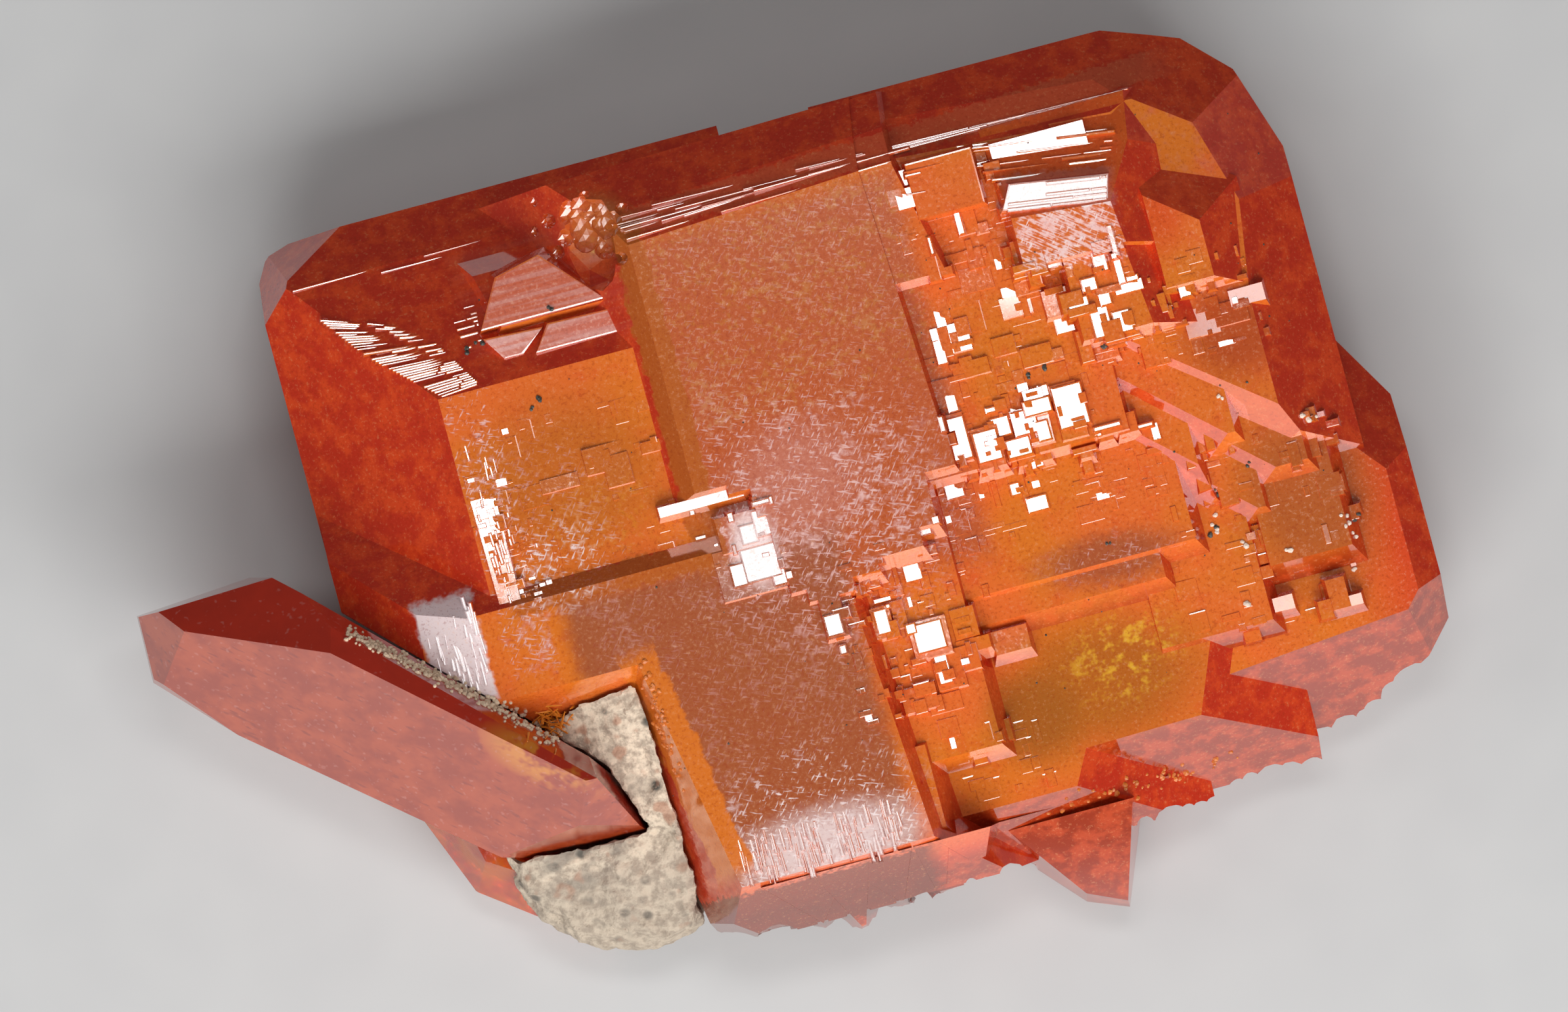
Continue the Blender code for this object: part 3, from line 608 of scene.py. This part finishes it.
# %% [markdown]
# The crystal's broad faces are covered with growth steps: low square blocks whose edges follow the crystal's
# axes. One block is modelled from a cube with an inset top, and each step is a copy whose corners are moved
# to its size. A block may lean a few degrees, which is what makes a real step flash.

# %% Growth steps
RIGHT_WALL, BACK_WALL, LEFT_WALL, FRONT_WALL = 1.0 / 5.7, 1.0 / 5.7, 1.0 / 5.7, 1.0 / 5.0
STEP_ROOT = 0.35
EDGE_WIDTH, EDGE_DROP = 0.026, 0.003
FLASH_AZIMUTH, FLASH_TILT = 75.0, 6.5

bpy.ops.object.select_all(action="DESELECT")
bpy.ops.mesh.primitive_cube_add(size=1.0, location=(0.0, 0.0, 0.0))
step_pattern = bpy.context.object
step_pattern.name = "step_pattern"
bpy.ops.object.mode_set(mode="EDIT")
bpy.ops.mesh.select_all(action="DESELECT")
shape = bmesh.from_edit_mesh(step_pattern.data)
for face in shape.faces:
    face.select = face.normal.z > 0.5
bmesh.update_edit_mesh(step_pattern.data)
bpy.ops.mesh.inset(thickness=0.1)
bpy.ops.object.mode_set(mode="OBJECT")
print("step pattern faces:", len(step_pattern.data.polygons))


def middle_of(corners):
    return [sum(corner[axis] for corner in corners) / 4 for axis in (0, 1)]


def slab(corners, top, lean=(0.0, 0.0), root=STEP_ROOT, edge=EDGE_WIDTH):
    """A copy of the step with its four corners on the plan (left front first, then round), the height of its
    top at the middle, and its lean: the azimuth that it leans to, and by how many degrees."""
    item = twin(step_pattern)
    falling = math.tan(math.radians(lean[1]))
    fall_x = falling * math.cos(math.radians(lean[0]))
    fall_y = falling * math.sin(math.radians(lean[0]))
    middle_x, middle_y = middle_of(corners)
    order = {(False, False): 0, (True, False): 1, (True, True): 2, (False, True): 3}
    for point in item.data.vertices:
        right, back, low, inner = point.co.x > 0, point.co.y > 0, point.co.z < 0, abs(point.co.x) < 0.45
        x, y = corners[order[(right, back)]]
        if low:
            x += root * RIGHT_WALL if right else -root * LEFT_WALL
            y += root * BACK_WALL if back else -root * FRONT_WALL
        if inner:
            x += -edge if right else edge
            y += -edge if back else edge
        drop = fall_x * (x - middle_x) + fall_y * (y - middle_y)
        level = top - root if low else top - drop - (0.0 if inner else EDGE_DROP)
        point.co = Vector((x, y, level))
    return item


def step(middle, size, top, turn=0.0, lean=(0.0, 0.0), root=STEP_ROOT, edge=EDGE_WIDTH):
    """A rectangular step, given by its middle, its size and its turn."""
    along, across = math.cos(math.radians(turn)), math.sin(math.radians(turn))
    corners = []
    for x, y in ((-0.5, -0.5), (0.5, -0.5), (0.5, 0.5), (-0.5, 0.5)):
        x, y = x * size[0], y * size[1]
        corners.append((middle[0] + x * along - y * across, middle[1] + x * across + y * along))
    return slab(corners, top, lean, root, min(edge, 0.3 * min(size)))


def flashing(chance, azimuth_spread, tilt_spread):
    """The lean of a step that mirrors the small softbox, with a little scatter."""
    azimuth = FLASH_AZIMUTH + chance.uniform(-azimuth_spread, azimuth_spread)
    return azimuth, FLASH_TILT + chance.uniform(-tilt_spread, tilt_spread)


# %% [markdown]
# Many steps are joined to the crystal at once. Blocks that don't touch each other go into one tool, so that a
# few Boolean unions do the work of hundreds.

# %% Helpers for joining
BOX_GAP = 0.004


def corners_of(item):
    points = np.array([point.co for point in item.data.vertices])
    return points.min(axis=0), points.max(axis=0)


def in_batches(items):
    """Sorts items into lists in which no two boxes touch."""
    batches = []
    for item in items:
        low, high = corners_of(item)
        for batch, boxes in batches:
            if all((low > far + BOX_GAP).any() or (high < near - BOX_GAP).any() for near, far in boxes):
                batch.append(item)
                boxes.append((low, high))
                break
        else:
            batches.append(([item], [(low, high)]))
    return [batch for batch, boxes in batches]


def join(items, name):
    bpy.ops.object.select_all(action="DESELECT")
    for item in items:
        item.select_set(True)
    bpy.context.view_layer.objects.active = items[0]
    if len(items) > 1:
        bpy.ops.object.join()
    items[0].name = name
    return items[0]


def grow(body, items, operation="UNION"):
    """Joins many small solids to a body, or cuts them out of it, in a few Booleans."""
    batches = in_batches(items)
    for number, batch in enumerate(batches):
        tool = join(batch, f"tool_{number}")
        apply(body, "BOOLEAN", operation=operation, solver="MANIFOLD", object=tool)
        bpy.data.objects.remove(tool, do_unlink=True)
    print(body.name, operation.lower(), "in", len(batches), "rounds, faces:", len(body.data.polygons))


# %% Main crystal
crystal = copy_of_node("main_crystal", "main_crystal_steps")

# %% [markdown]
# The flashing steps of the photograph lie in a few clusters. Those are placed one by one, as (x, y, width,
# depth) in mm, and all lean towards the small softbox.

# %% Flashing steps
FLASHING = [
    (3.28, 0.27, 0.38, 0.80), (3.76, 0.00, 0.46, 0.58), (3.34, 1.03, 0.20, 0.56),
    (4.04, 0.62, 0.31, 0.11), (4.09, 0.28, 0.35, 0.37), (4.53, 0.24, 0.46, 0.46),
    (4.82, 0.46, 0.52, 0.29), (5.01, 0.66, 0.20, 0.34), (5.42, 0.32, 0.55, 0.78),
    (4.82, 0.01, 0.24, 0.38), (4.31, -0.17, 0.46, 0.35), (5.96, -0.22, 0.52, 0.10),
    (6.52, -0.38, 0.54, 0.09), (2.98, -0.55, 0.34, 0.46), (4.05, -0.89, 0.20, 0.24),
    (4.38, -1.25, 0.40, 0.29), (7.97, 1.85, 0.22, 0.34), (6.02, 2.02, 0.40, 0.34),
    (6.60, 2.78, 0.26, 0.52), (6.92, 3.02, 0.12, 0.60), (5.72, 2.87, 0.40, 0.11),
    (5.76, 1.84, 0.50, 0.46), (6.34, 1.66, 0.36, 0.60), (6.72, 1.56, 0.34, 0.42),
    (6.52, 2.06, 0.22, 0.30), (6.91, 2.51, 0.14, 0.60), (6.30, 2.36, 0.30, 0.26),
    (3.70, 3.79, 0.08, 0.34), (4.32, 4.09, 0.12, 0.50), (-0.52, -0.28, 0.42, 0.50),
    (-0.86, -0.42, 0.30, 0.36), (-0.78, -0.98, 0.66, 0.62), (-1.20, -1.10, 0.34, 0.42),
    (-0.50, -1.30, 0.30, 0.34), (-0.50, 0.08, 0.34, 0.10), (0.21, -2.42, 0.32, 0.40),
    (0.26, -2.90, 0.14, 0.18), (1.08, -2.60, 0.26, 0.46), (1.84, -3.08, 0.56, 0.54),
    (1.93, -3.70, 0.26, 0.60), (1.55, -2.86, 0.20, 0.20), (2.28, -1.20, 0.20, 0.16),
    (3.06, 0.60, 0.10, 0.30),
]
FLASHING_RISE = 0.03


def flashing_steps(height, chance):
    steps = []
    for x, y, wide, deep in FLASHING:
        lean = flashing(chance, 16.0, 0.8)
        top = height(x, y) + FLASHING_RISE + chance.uniform(0.0, FLASHING_RISE)
        steps.append(step((x, y), (wide, deep), top, lean=lean))
    return steps


grow(crystal, flashing_steps(surface(crystal), random.Random(3)))

# %% [markdown]
# The rest of the steps are scattered over fields of the plan, most of them flat or barely leaning, and very
# low: their edges show as thin bright lines. A field is (how many, x span, y span, least and most size, most
# height, share that flash).

# %% Scattered steps
FIELDS = [
    (90, (3.25, 7.2), (0.9, 3.0), (0.10, 0.60), 0.016, 0.06),
    (60, (3.2, 5.2), (3.0, 5.3), (0.08, 0.45), 0.012, 0.04),
    (44, (3.1, 5.8), (-0.5, 0.95), (0.07, 0.30), 0.030, 0.25),
    (60, (2.4, 6.9), (-1.7, -0.5), (0.10, 0.50), 0.020, 0.08),
    (54, (0.3, 2.5), (-4.6, -1.7), (0.08, 0.34), 0.040, 0.10),
    (30, (0.6, 3.2), (-2.6, -1.2), (0.08, 0.30), 0.030, 0.06),
    (40, (7.2, 9.3), (0.6, 2.4), (0.08, 0.36), 0.020, 0.04),
    (60, (6.5, 9.9), (-4.6, -0.8), (0.10, 0.48), 0.022, 0.03),
    (26, (-5.6, -1.9), (-0.4, 2.6), (0.10, 0.50), 0.010, 0.0),
    (60, (-5.45, -4.75), (-0.6, 1.7), (0.05, 0.32), 0.014, 0.22),
    (18, (-5.7, -4.6), (-0.5, 2.6), (0.04, 0.16), 0.020, 0.45),
    (22, (1.6, 3.4), (-6.2, -4.4), (0.10, 0.40), 0.024, 0.02),
    (14, (-1.9, -0.3), (-1.5, 0.3), (0.06, 0.20), 0.040, 0.40),
]
LEAST_RISE, SCATTER_ROOT, MOST_LEAN = 0.003, 0.25, 2.5


def scattered_steps(height, chance):
    steps = []
    for count, x_span, y_span, (least, most), most_rise, flashing_share in FIELDS:
        for _ in range(count):
            x, y = chance.uniform(*x_span), chance.uniform(*y_span)
            wide = least + (most - least) * chance.random() ** 2
            deep = least + (most - least) * chance.random() ** 2
            rise = chance.uniform(LEAST_RISE, most_rise)
            lean = (chance.choice((0.0, 90.0, 180.0)), chance.uniform(0.0, MOST_LEAN))
            if chance.random() < flashing_share:
                lean = (FLASH_AZIMUTH + chance.uniform(-14.0, 14.0), FLASH_TILT)
            ground = height(x, y)
            if ground is not None:
                edge = chance.choice((0.004, 0.010, 0.018))
                top = ground + rise
                steps.append(step((x, y), (wide, deep), top, lean=lean, root=SCATTER_ROOT, edge=edge))
    return steps


grow(crystal, scattered_steps(surface(crystal), random.Random(11)))

# %% [markdown]
# Where the left plate's upper bevel breaks into ledges, the ledges are smooth slabs that lean a little less
# than the bevel, and one wedge on the knob flashes as a whole. A slab is its four corners and its lean. One
# more slab is flat and covers a corner of the step field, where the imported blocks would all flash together.

# %% Slabs
SLABS = [
    (((-4.62, 4.42), (-2.29, 4.42), (-3.26, 5.50), (-4.13, 5.30)), (85.0, 10.5)),
    (((-3.75, 3.77), (-2.04, 3.77), (-2.09, 4.20), (-3.42, 4.24)), (80.0, 10.0)),
    (((-4.34, 3.82), (-3.98, 3.82), (-3.52, 4.20), (-4.62, 4.26)), (80.0, 9.5)),
    (((5.12, 4.06), (7.02, 3.74), (7.16, 4.22), (5.36, 4.50)), (76.0, 6.6)),
]
SLAB_RISE, SLAB_ROOT = 0.03, 0.7
COVER_X, COVER_Y = (3.62, 4.86), (4.30, 5.34)
COVER_RISE, COVER_ROOT = 0.01, 0.5


def slabs(height):
    made = []
    for corners, lean in SLABS:
        front_y = (corners[0][1] + corners[1][1]) / 2
        middle_x, middle_y = middle_of(corners)
        fall = (middle_y - front_y) * math.tan(math.radians(lean[1]))
        made.append(slab(corners, height(middle_x, front_y) + SLAB_RISE - fall, lean, root=SLAB_ROOT))
    return made


def cover(height, x_span, y_span):
    """A flat slab over a patch of the plan, just clear of its highest point."""
    across, along = np.linspace(*x_span, 9), np.linspace(*y_span, 9)
    top = max(height(x, y) or 0.0 for x in across for y in along) + COVER_RISE
    (left, right), (front, back) = x_span, y_span
    corners = ((left, front), (right, front), (right, back), (left, back))
    return slab(corners, top, root=COVER_ROOT)


ground = surface(crystal)
grow(crystal, slabs(ground) + [cover(ground, COVER_X, COVER_Y)])

# %% [markdown]
# Striations are the same steps drawn out long and thin, row upon row. They line the bevels that face the
# upper edge and show as bundles of fine white lines. A bundle is a four-sided patch of the plan (again left
# front first) whose rows run from its left side to its right, with the spacing of the rows, the share of each
# row that is there at all, and the least and most length of one ledge.

# %% Striations
BUNDLES = [
    (((5.20, 4.00), (7.00, 3.74), (7.12, 4.22), (5.36, 4.48)), 0.085, 0.45, (0.3, 1.2)),
    (((5.10, 4.62), (7.20, 4.34), (7.52, 5.02), (4.60, 5.44)), 0.070, 0.46, (0.4, 1.9)),
    (((-1.62, 5.31), (3.40, 5.43), (3.40, 5.48), (-1.62, 5.36)), 0.048, 0.95, (1.2, 3.0)),
    (((-1.60, 5.42), (3.60, 5.64), (8.80, 5.62), (-1.85, 5.86)), 0.044, 0.60, (0.5, 3.2)),
    (((3.50, 4.70), (5.10, 4.55), (5.10, 5.30), (3.60, 5.30)), 0.062, 0.13, (0.15, 0.8)),
    (((-7.75, 5.92), (-3.72, 5.86), (-3.65, 6.10), (-7.80, 6.06)), 0.050, 0.55, (0.4, 1.8)),
    (((-6.75, 4.48), (-5.44, 4.38), (-6.20, 4.96), (-7.45, 5.40)), 0.070, 0.80, (0.4, 1.4)),
    (((-5.60, 3.42), (-4.88, 3.48), (-5.44, 4.36), (-6.72, 4.46)), 0.070, 0.90, (0.4, 1.4)),
    (((-5.00, 4.15), (-4.66, 4.15), (-4.60, 4.95), (-5.10, 4.95)), 0.070, 0.45, (0.1, 0.4)),
]
LEDGE_GAP, LEAST_LEDGE = 0.02, 0.04
LEDGE_RISE, LEDGE_ROOT = 0.012, 0.12


def striations(height, chance):
    ledges = []
    for corners, spacing, share, lengths in BUNDLES:
        left_low, right_low, right_high, left_high = (Vector(corner) for corner in corners)
        rows = int((left_high - left_low).length / spacing)
        for row in range(rows):
            start = left_low.lerp(left_high, (row + 0.5) / rows)
            end = right_low.lerp(right_high, (row + 0.5) / rows)
            turn = math.degrees(math.atan2(end.y - start.y, end.x - start.x))
            place, whole = 0.0, (end - start).length
            while place < whole:
                long = min(chance.uniform(*lengths), whole - place)
                middle = start.lerp(end, (place + long / 2) / whole)
                place += long + LEDGE_GAP
                level = height(middle.x, middle.y)
                if long < LEAST_LEDGE or chance.random() > share or level is None:
                    continue
                deep = spacing * chance.uniform(0.3, 0.95)
                lean = (FLASH_AZIMUTH, FLASH_TILT + chance.uniform(-1.2, 1.2))
                top = level + LEDGE_RISE
                ledges.append(step(middle, (long, deep), top, turn, lean, root=LEDGE_ROOT))
    return ledges


grow(crystal, striations(surface(crystal), random.Random(29)))

# %% [markdown]
# The lower edge is chipped all along, and the yellow chip in the upper edge is ragged. One egg-shaped bite is
# modelled, and its copies are cut out of both. Along the lower edge a bite is taller than it is wide, so that
# it reaches through the bevels. The splinter that juts out there is left whole.

# %% Chips
bpy.ops.object.select_all(action="DESELECT")
bpy.ops.mesh.primitive_ico_sphere_add(subdivisions=2, radius=1.0)
bite = bpy.context.object
bpy.ops.object.mode_set(mode="EDIT")
bpy.ops.mesh.select_all(action="SELECT")
bpy.ops.transform.vertex_random(offset=0.10, seed=2)
bpy.ops.object.mode_set(mode="OBJECT")
CHIPPED_FROM, CHIPPED_TO = -3.1, 10.4
SPLINTER = (2.5, 4.7)
BELOW_RIM = 0.4
YELLOW_CHIP, CHIP_SPREAD, CHIP_BITES = (-2.10, 5.75), 0.34, 34


def rim_point(height, x):
    """Where the plan's lower edge is at x, and how high the surface is there."""
    y = -8.6
    while height(x, y) is None:
        y += 0.02
    return y, height(x, y)


def bite_at(place, size, turn=0.0):
    item = twin(bite)
    turned = Matrix.Rotation(turn, 4, "Z")
    item.data.transform(Matrix.Translation(place) @ turned @ Matrix.Diagonal((*size, 1.0)))
    return item


def rim_bites(height, chance):
    made = []
    x = CHIPPED_FROM
    while x < CHIPPED_TO:
        size = chance.uniform(0.12, 0.34)
        y, z = rim_point(height, x)
        if not SPLINTER[0] < x < SPLINTER[1]:
            shaped = (size * chance.uniform(0.8, 1.8), size, chance.uniform(1.0, 1.9))
            turn = chance.uniform(-0.6, 0.6)
            made.append(bite_at((x, y - size * chance.uniform(0.1, 0.6), z - BELOW_RIM), shaped, turn))
        x += size * chance.uniform(0.9, 2.2)
    return made


def chip_bites(height, chance):
    """Small bites all over the yellow chip, which leave it ragged."""
    made = []
    for _ in range(CHIP_BITES):
        x, y = (middle + chance.gauss(0.0, CHIP_SPREAD) for middle in YELLOW_CHIP)
        size = chance.uniform(0.08, 0.24)
        shaped = (size, size * chance.uniform(0.6, 1.2), size * 0.9)
        made.append(bite_at((x, y, height(x, y) + 0.2 * size), shaped))
    return made


grow(crystal, rim_bites(surface(crystal), random.Random(8)), "DIFFERENCE")
grow(crystal, chip_bites(surface(crystal), random.Random(17)), "DIFFERENCE")
bpy.data.objects.remove(bite, do_unlink=True)

# %% [markdown]
# Three faces carry short streaks that run the other way, down the slope: the pale foot of the lobe, the white
# arm, and the left plate's edge. A group is how many, x span, y span, and least and most length. Then the
# main crystal is finished. A copy of it stays in millimetres, for the grains that are laid on it later.

# %% Streaks down the slopes
STREAKS = [
    (120, (-2.55, 0.45), (-6.55, -5.80), (0.10, 0.60)),
    (46, (-7.05, -6.05), (-2.05, -0.45), (0.15, 0.80)),
    (26, (-5.55, -5.00), (-0.40, 2.40), (0.10, 0.50)),
]


def streaks(height, chance):
    made = []
    for count, x_span, y_span, lengths in STREAKS:
        for _ in range(count):
            place = (chance.uniform(*x_span), chance.uniform(*y_span))
            level = height(*place)
            if level is None:
                continue
            size = (chance.uniform(0.02, 0.07), chance.uniform(*lengths))
            lean = flashing(chance, 12.0, 1.0)
            turn = chance.uniform(-4.0, 4.0)
            made.append(step(place, size, level + LEDGE_RISE, turn, lean, root=LEDGE_ROOT))
    return made


grow(crystal, streaks(surface(crystal), random.Random(41)))
print("highest point in mm:", round(max(point.co.z for point in crystal.data.vertices), 3))
crystal_top = twin(crystal)
settle(crystal, stone, "crystal", "main_crystal")
bpy.data.objects.remove(step_pattern, do_unlink=True)

# %% [markdown]
# The two smaller crystals have plain faces, so they need no modelling beyond a merged copy.

# %% Side crystal
side = copy_of_node("side_crystal", "side_crystal_faces")
side_top = twin(side)
settle(side, side_stone, "side_crystal", "side_crystal")

# %% Lower crystal
lower = copy_of_node("lower_crystal", "lower_crystal_faces")
settle(lower, glow_stone, "lower_crystal", "lower_crystal")

# %% [markdown]
# The matrix rock is a pale, fine-grained lump with darker beds, small dark spots and a little rust. Towards its
# foot it is darker, which is painted shade.

# %% The rock's finish
rock_paint = Recipe("rock")
where, x, y, z = rock_paint.places()
coarse = rock_paint.noise(where, 1.1, 3.0)
grains = rock_paint.noise(where, 5.0, 3.0, 0.7)
beds = rock_paint.streaks(where, 20.0, 1.6, 0.30)
colour = rock_paint.mix(rock_paint.ramp(grains, 0.35, 0.62), (0.36, 0.29, 0.22), (0.66, 0.55, 0.42))
under = rock_paint.spot(where, (-5.3, -5.3), (1.6, 1.1), 20.0)
under = (under * rock_paint.ramp(beds, 0.35, 0.6)).most(rock_paint.ramp(coarse, 0.54, 0.68) * 0.55)
colour = rock_paint.mix(under * 0.75, colour, (0.19, 0.165, 0.135))
spots = 1 - rock_paint.ramp(rock_paint.cells(where, 2.1), 0.12, 0.30)
spots = spots * rock_paint.ramp(grains, 0.36, 0.5) * rock_paint.ramp(coarse, 0.42, 0.54)
colour = rock_paint.mix(spots * 0.9, colour, (0.035, 0.038, 0.034))
rusty = rock_paint.ramp(rock_paint.noise(where, 2.3, 1.0), 0.62, 0.72)
colour = rock_paint.mix(rusty * 0.6, colour, (0.36, 0.15, 0.08))
# Painted shade, darker towards the rock's foot.
colour = rock_paint.mix(rock_paint.ramp(y, -4.6, -6.4) * 0.5, colour, (0.26, 0.21, 0.165))
rock_paint.set(Base_Color=colour, Roughness=0.9, Normal=rock_paint.bump(grains, 0.05, 0.6))
report(rock_paint)

# %% [markdown]
# The rock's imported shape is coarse, so an even mesh is laid over the copy and its points are pushed in and
# out by three noises: hollows, pits and grains. The directions are read before any point moves, because
# Blender works them out anew after each move, which takes long on a fine mesh.

# %% Matrix rock
ROCK_MESH = 0.075
ROCK_INSET = 0.02
rock = copy_of_node("matrix_rock", "matrix_grains")
apply(rock, "REMESH", mode="VOXEL", voxel_size=ROCK_MESH)
outward = [point.normal.copy() for point in rock.data.vertices]
for point, normal in zip(rock.data.vertices, outward):
    hollow = 0.07 * noise.fractal(point.co * 1.7, 0.9, 2.1, 3)
    pit = 0.12 * max(0.0, noise.noise(point.co * 2.6) - 0.25)
    grain = 0.030 * noise.noise(point.co * 7.0)
    point.co = point.co + normal * (hollow - pit + grain - ROCK_INSET)
print("matrix faces:", len(rock.data.polygons))
rock_top = twin(rock)
settle(rock, rock_paint, "matrix", "matrix_rock")

# %% [markdown]
# Small grains are stuck on the stone. One pebble and one needle are modelled, and their copies are dropped
# onto whichever finished surface is highest at their place.

# %% Grain patterns
tops = [surface(item) for item in (crystal_top, side_top, rock_top)]
bpy.ops.object.select_all(action="DESELECT")
bpy.ops.mesh.primitive_ico_sphere_add(subdivisions=1, radius=0.5)
pebble = bpy.context.object
bpy.ops.object.mode_set(mode="EDIT")
bpy.ops.mesh.select_all(action="SELECT")
bpy.ops.transform.vertex_random(offset=0.14, seed=4)
bpy.ops.object.mode_set(mode="OBJECT")
bpy.ops.mesh.primitive_cone_add(vertices=4, radius1=0.5, radius2=0.12, depth=1.0)
needle = bpy.context.object
print("pebble faces:", len(pebble.data.polygons), "needle faces:", len(needle.data.polygons))


def highest_at(x, y):
    heights = [found for found in (height(x, y) for height in tops) if found is not None]
    return max(heights) if heights else None


def strewn(pattern, name, places, chance, squash, sink, colours, roughness, tilted=0.3):
    """Copies of a pattern laid on the surface at (x, y, size), in one piece whose finish is a mix of two
    colours. Squash is a copy's height and sink how far its middle lies above the surface, both in sizes."""
    copies = []
    for x, y, size in places:
        ground = highest_at(x, y)
        if ground is None:
            continue
        turned = Matrix.Rotation(chance.uniform(0.0, 6.3), 4, "Z")
        tipped = Matrix.Rotation(chance.uniform(-tilted, tilted), 4, "X")
        shaped = Matrix.Diagonal((size * chance.uniform(0.7, 1.3), size, size * squash, 1.0))
        item = twin(pattern)
        item.data.transform(Matrix.Translation((x, y, ground + size * sink)) @ turned @ tipped @ shaped)
        copies.append(item)
    finish = Recipe(name)
    where = finish.places()[0]
    finish.set(Base_Color=finish.mix(finish.noise(where, 9.0), *colours), Roughness=roughness)
    settle(join(copies, name), finish)
    print(name, "copies:", len(copies))


# %% [markdown]
# Orange specks lie on the broken lower edge and down the lobe's left side. A granular crust fills the seam
# beside the side crystal and widens towards the rock, where a tuft of orange needles ends it.

# %% Crusts and needles
SEAM_START, SEAM_RUN = (-8.38, -0.23), (3.24, -2.91)
SEAM_ACROSS = (0.67, 0.74)
chance = random.Random(17)
specks = [(chance.gauss(5.0, 0.8), chance.gauss(-6.70, 0.10), chance.uniform(0.05, 0.14)) for _ in range(46)]
for _ in range(60):
    specks.append((chance.gauss(-3.30, 0.07), chance.gauss(-3.4, 0.5), chance.uniform(0.04, 0.12)))
strewn(pebble, "orange_crust", specks, chance, 0.5, 0.05, ((0.46, 0.09, 0.015), (0.66, 0.20, 0.02)), 0.35)

seam = []
for _ in range(520):
    share = chance.random()
    x, y = (start + run * share for start, run in zip(SEAM_START, SEAM_RUN))
    spread = chance.gauss(0.0, 0.05 + 0.12 * max(0.0, share - 0.6))
    seam.append((x + spread * SEAM_ACROSS[0], y + spread * SEAM_ACROSS[1], chance.uniform(0.05, 0.12)))
strewn(pebble, "seam_crust", seam, chance, 0.8, 0.15, ((0.55, 0.36, 0.22), (0.80, 0.66, 0.50)), 0.8)

tuft = [(chance.gauss(-5.20, 0.16), chance.gauss(-2.78, 0.14), 0.05) for _ in range(70)]
oranges = ((0.72, 0.20, 0.02), (0.86, 0.36, 0.04))
strewn(needle, "orange_needles", tuft, chance, 7.0, 1.6, oranges, 0.3, tilted=1.3)

# %% [markdown]
# Black and pale grains sit here and there. The ones that show in the photograph are placed one by one, in
# pairs, and a dusting of tiny dark ones is scattered over the face.

# %% Dark and pale grains
DARK = [
    (4.84, 1.03), (5.42, -2.32), (7.42, -2.50), (7.28, -2.62), (9.90, -3.06), (9.98, -2.94),
    (8.30, -1.55), (7.62, -1.88), (5.15, 1.15), (-4.76, 4.20), (-4.97, 4.14), (-3.92, 2.96),
    (-4.05, 2.85), (-3.30, 4.52), (6.30, 1.20),
]
LIGHT = [
    (8.05, -0.20), (7.40, -2.45), (7.46, -2.56), (7.86, -2.95), (9.72, -2.90), (9.80, -3.10),
    (9.86, -3.3), (9.60, -3.9), (9.5, -0.95), (9.62, -1.0), (7.60, -4.00), (8.66, -3.2),
]


def pairs(places, spread, sizes):
    """Two grains near each place."""
    made = []
    for x, y in places:
        for _ in (0, 1):
            near = (x + chance.gauss(0.0, spread), y + chance.gauss(0.0, spread))
            made.append((*near, chance.uniform(*sizes)))
    return made


dark = pairs(DARK, 0.03, (0.05, 0.12))
for _ in range(70):
    dark.append((chance.uniform(-5.0, 10.0), chance.uniform(-5.0, 5.5), chance.uniform(0.02, 0.05)))
strewn(pebble, "dark_grains", dark, chance, 0.6, 0.1, ((0.012, 0.012, 0.010), (0.07, 0.06, 0.045)), 0.4)
light = pairs(LIGHT, 0.05, (0.06, 0.14))
strewn(pebble, "pale_grains", light, chance, 0.6, 0.1, ((0.66, 0.50, 0.40), (0.86, 0.72, 0.60)), 0.6)
for item in (pebble, needle, crystal_top, side_top, rock_top):
    bpy.data.objects.remove(item, do_unlink=True)
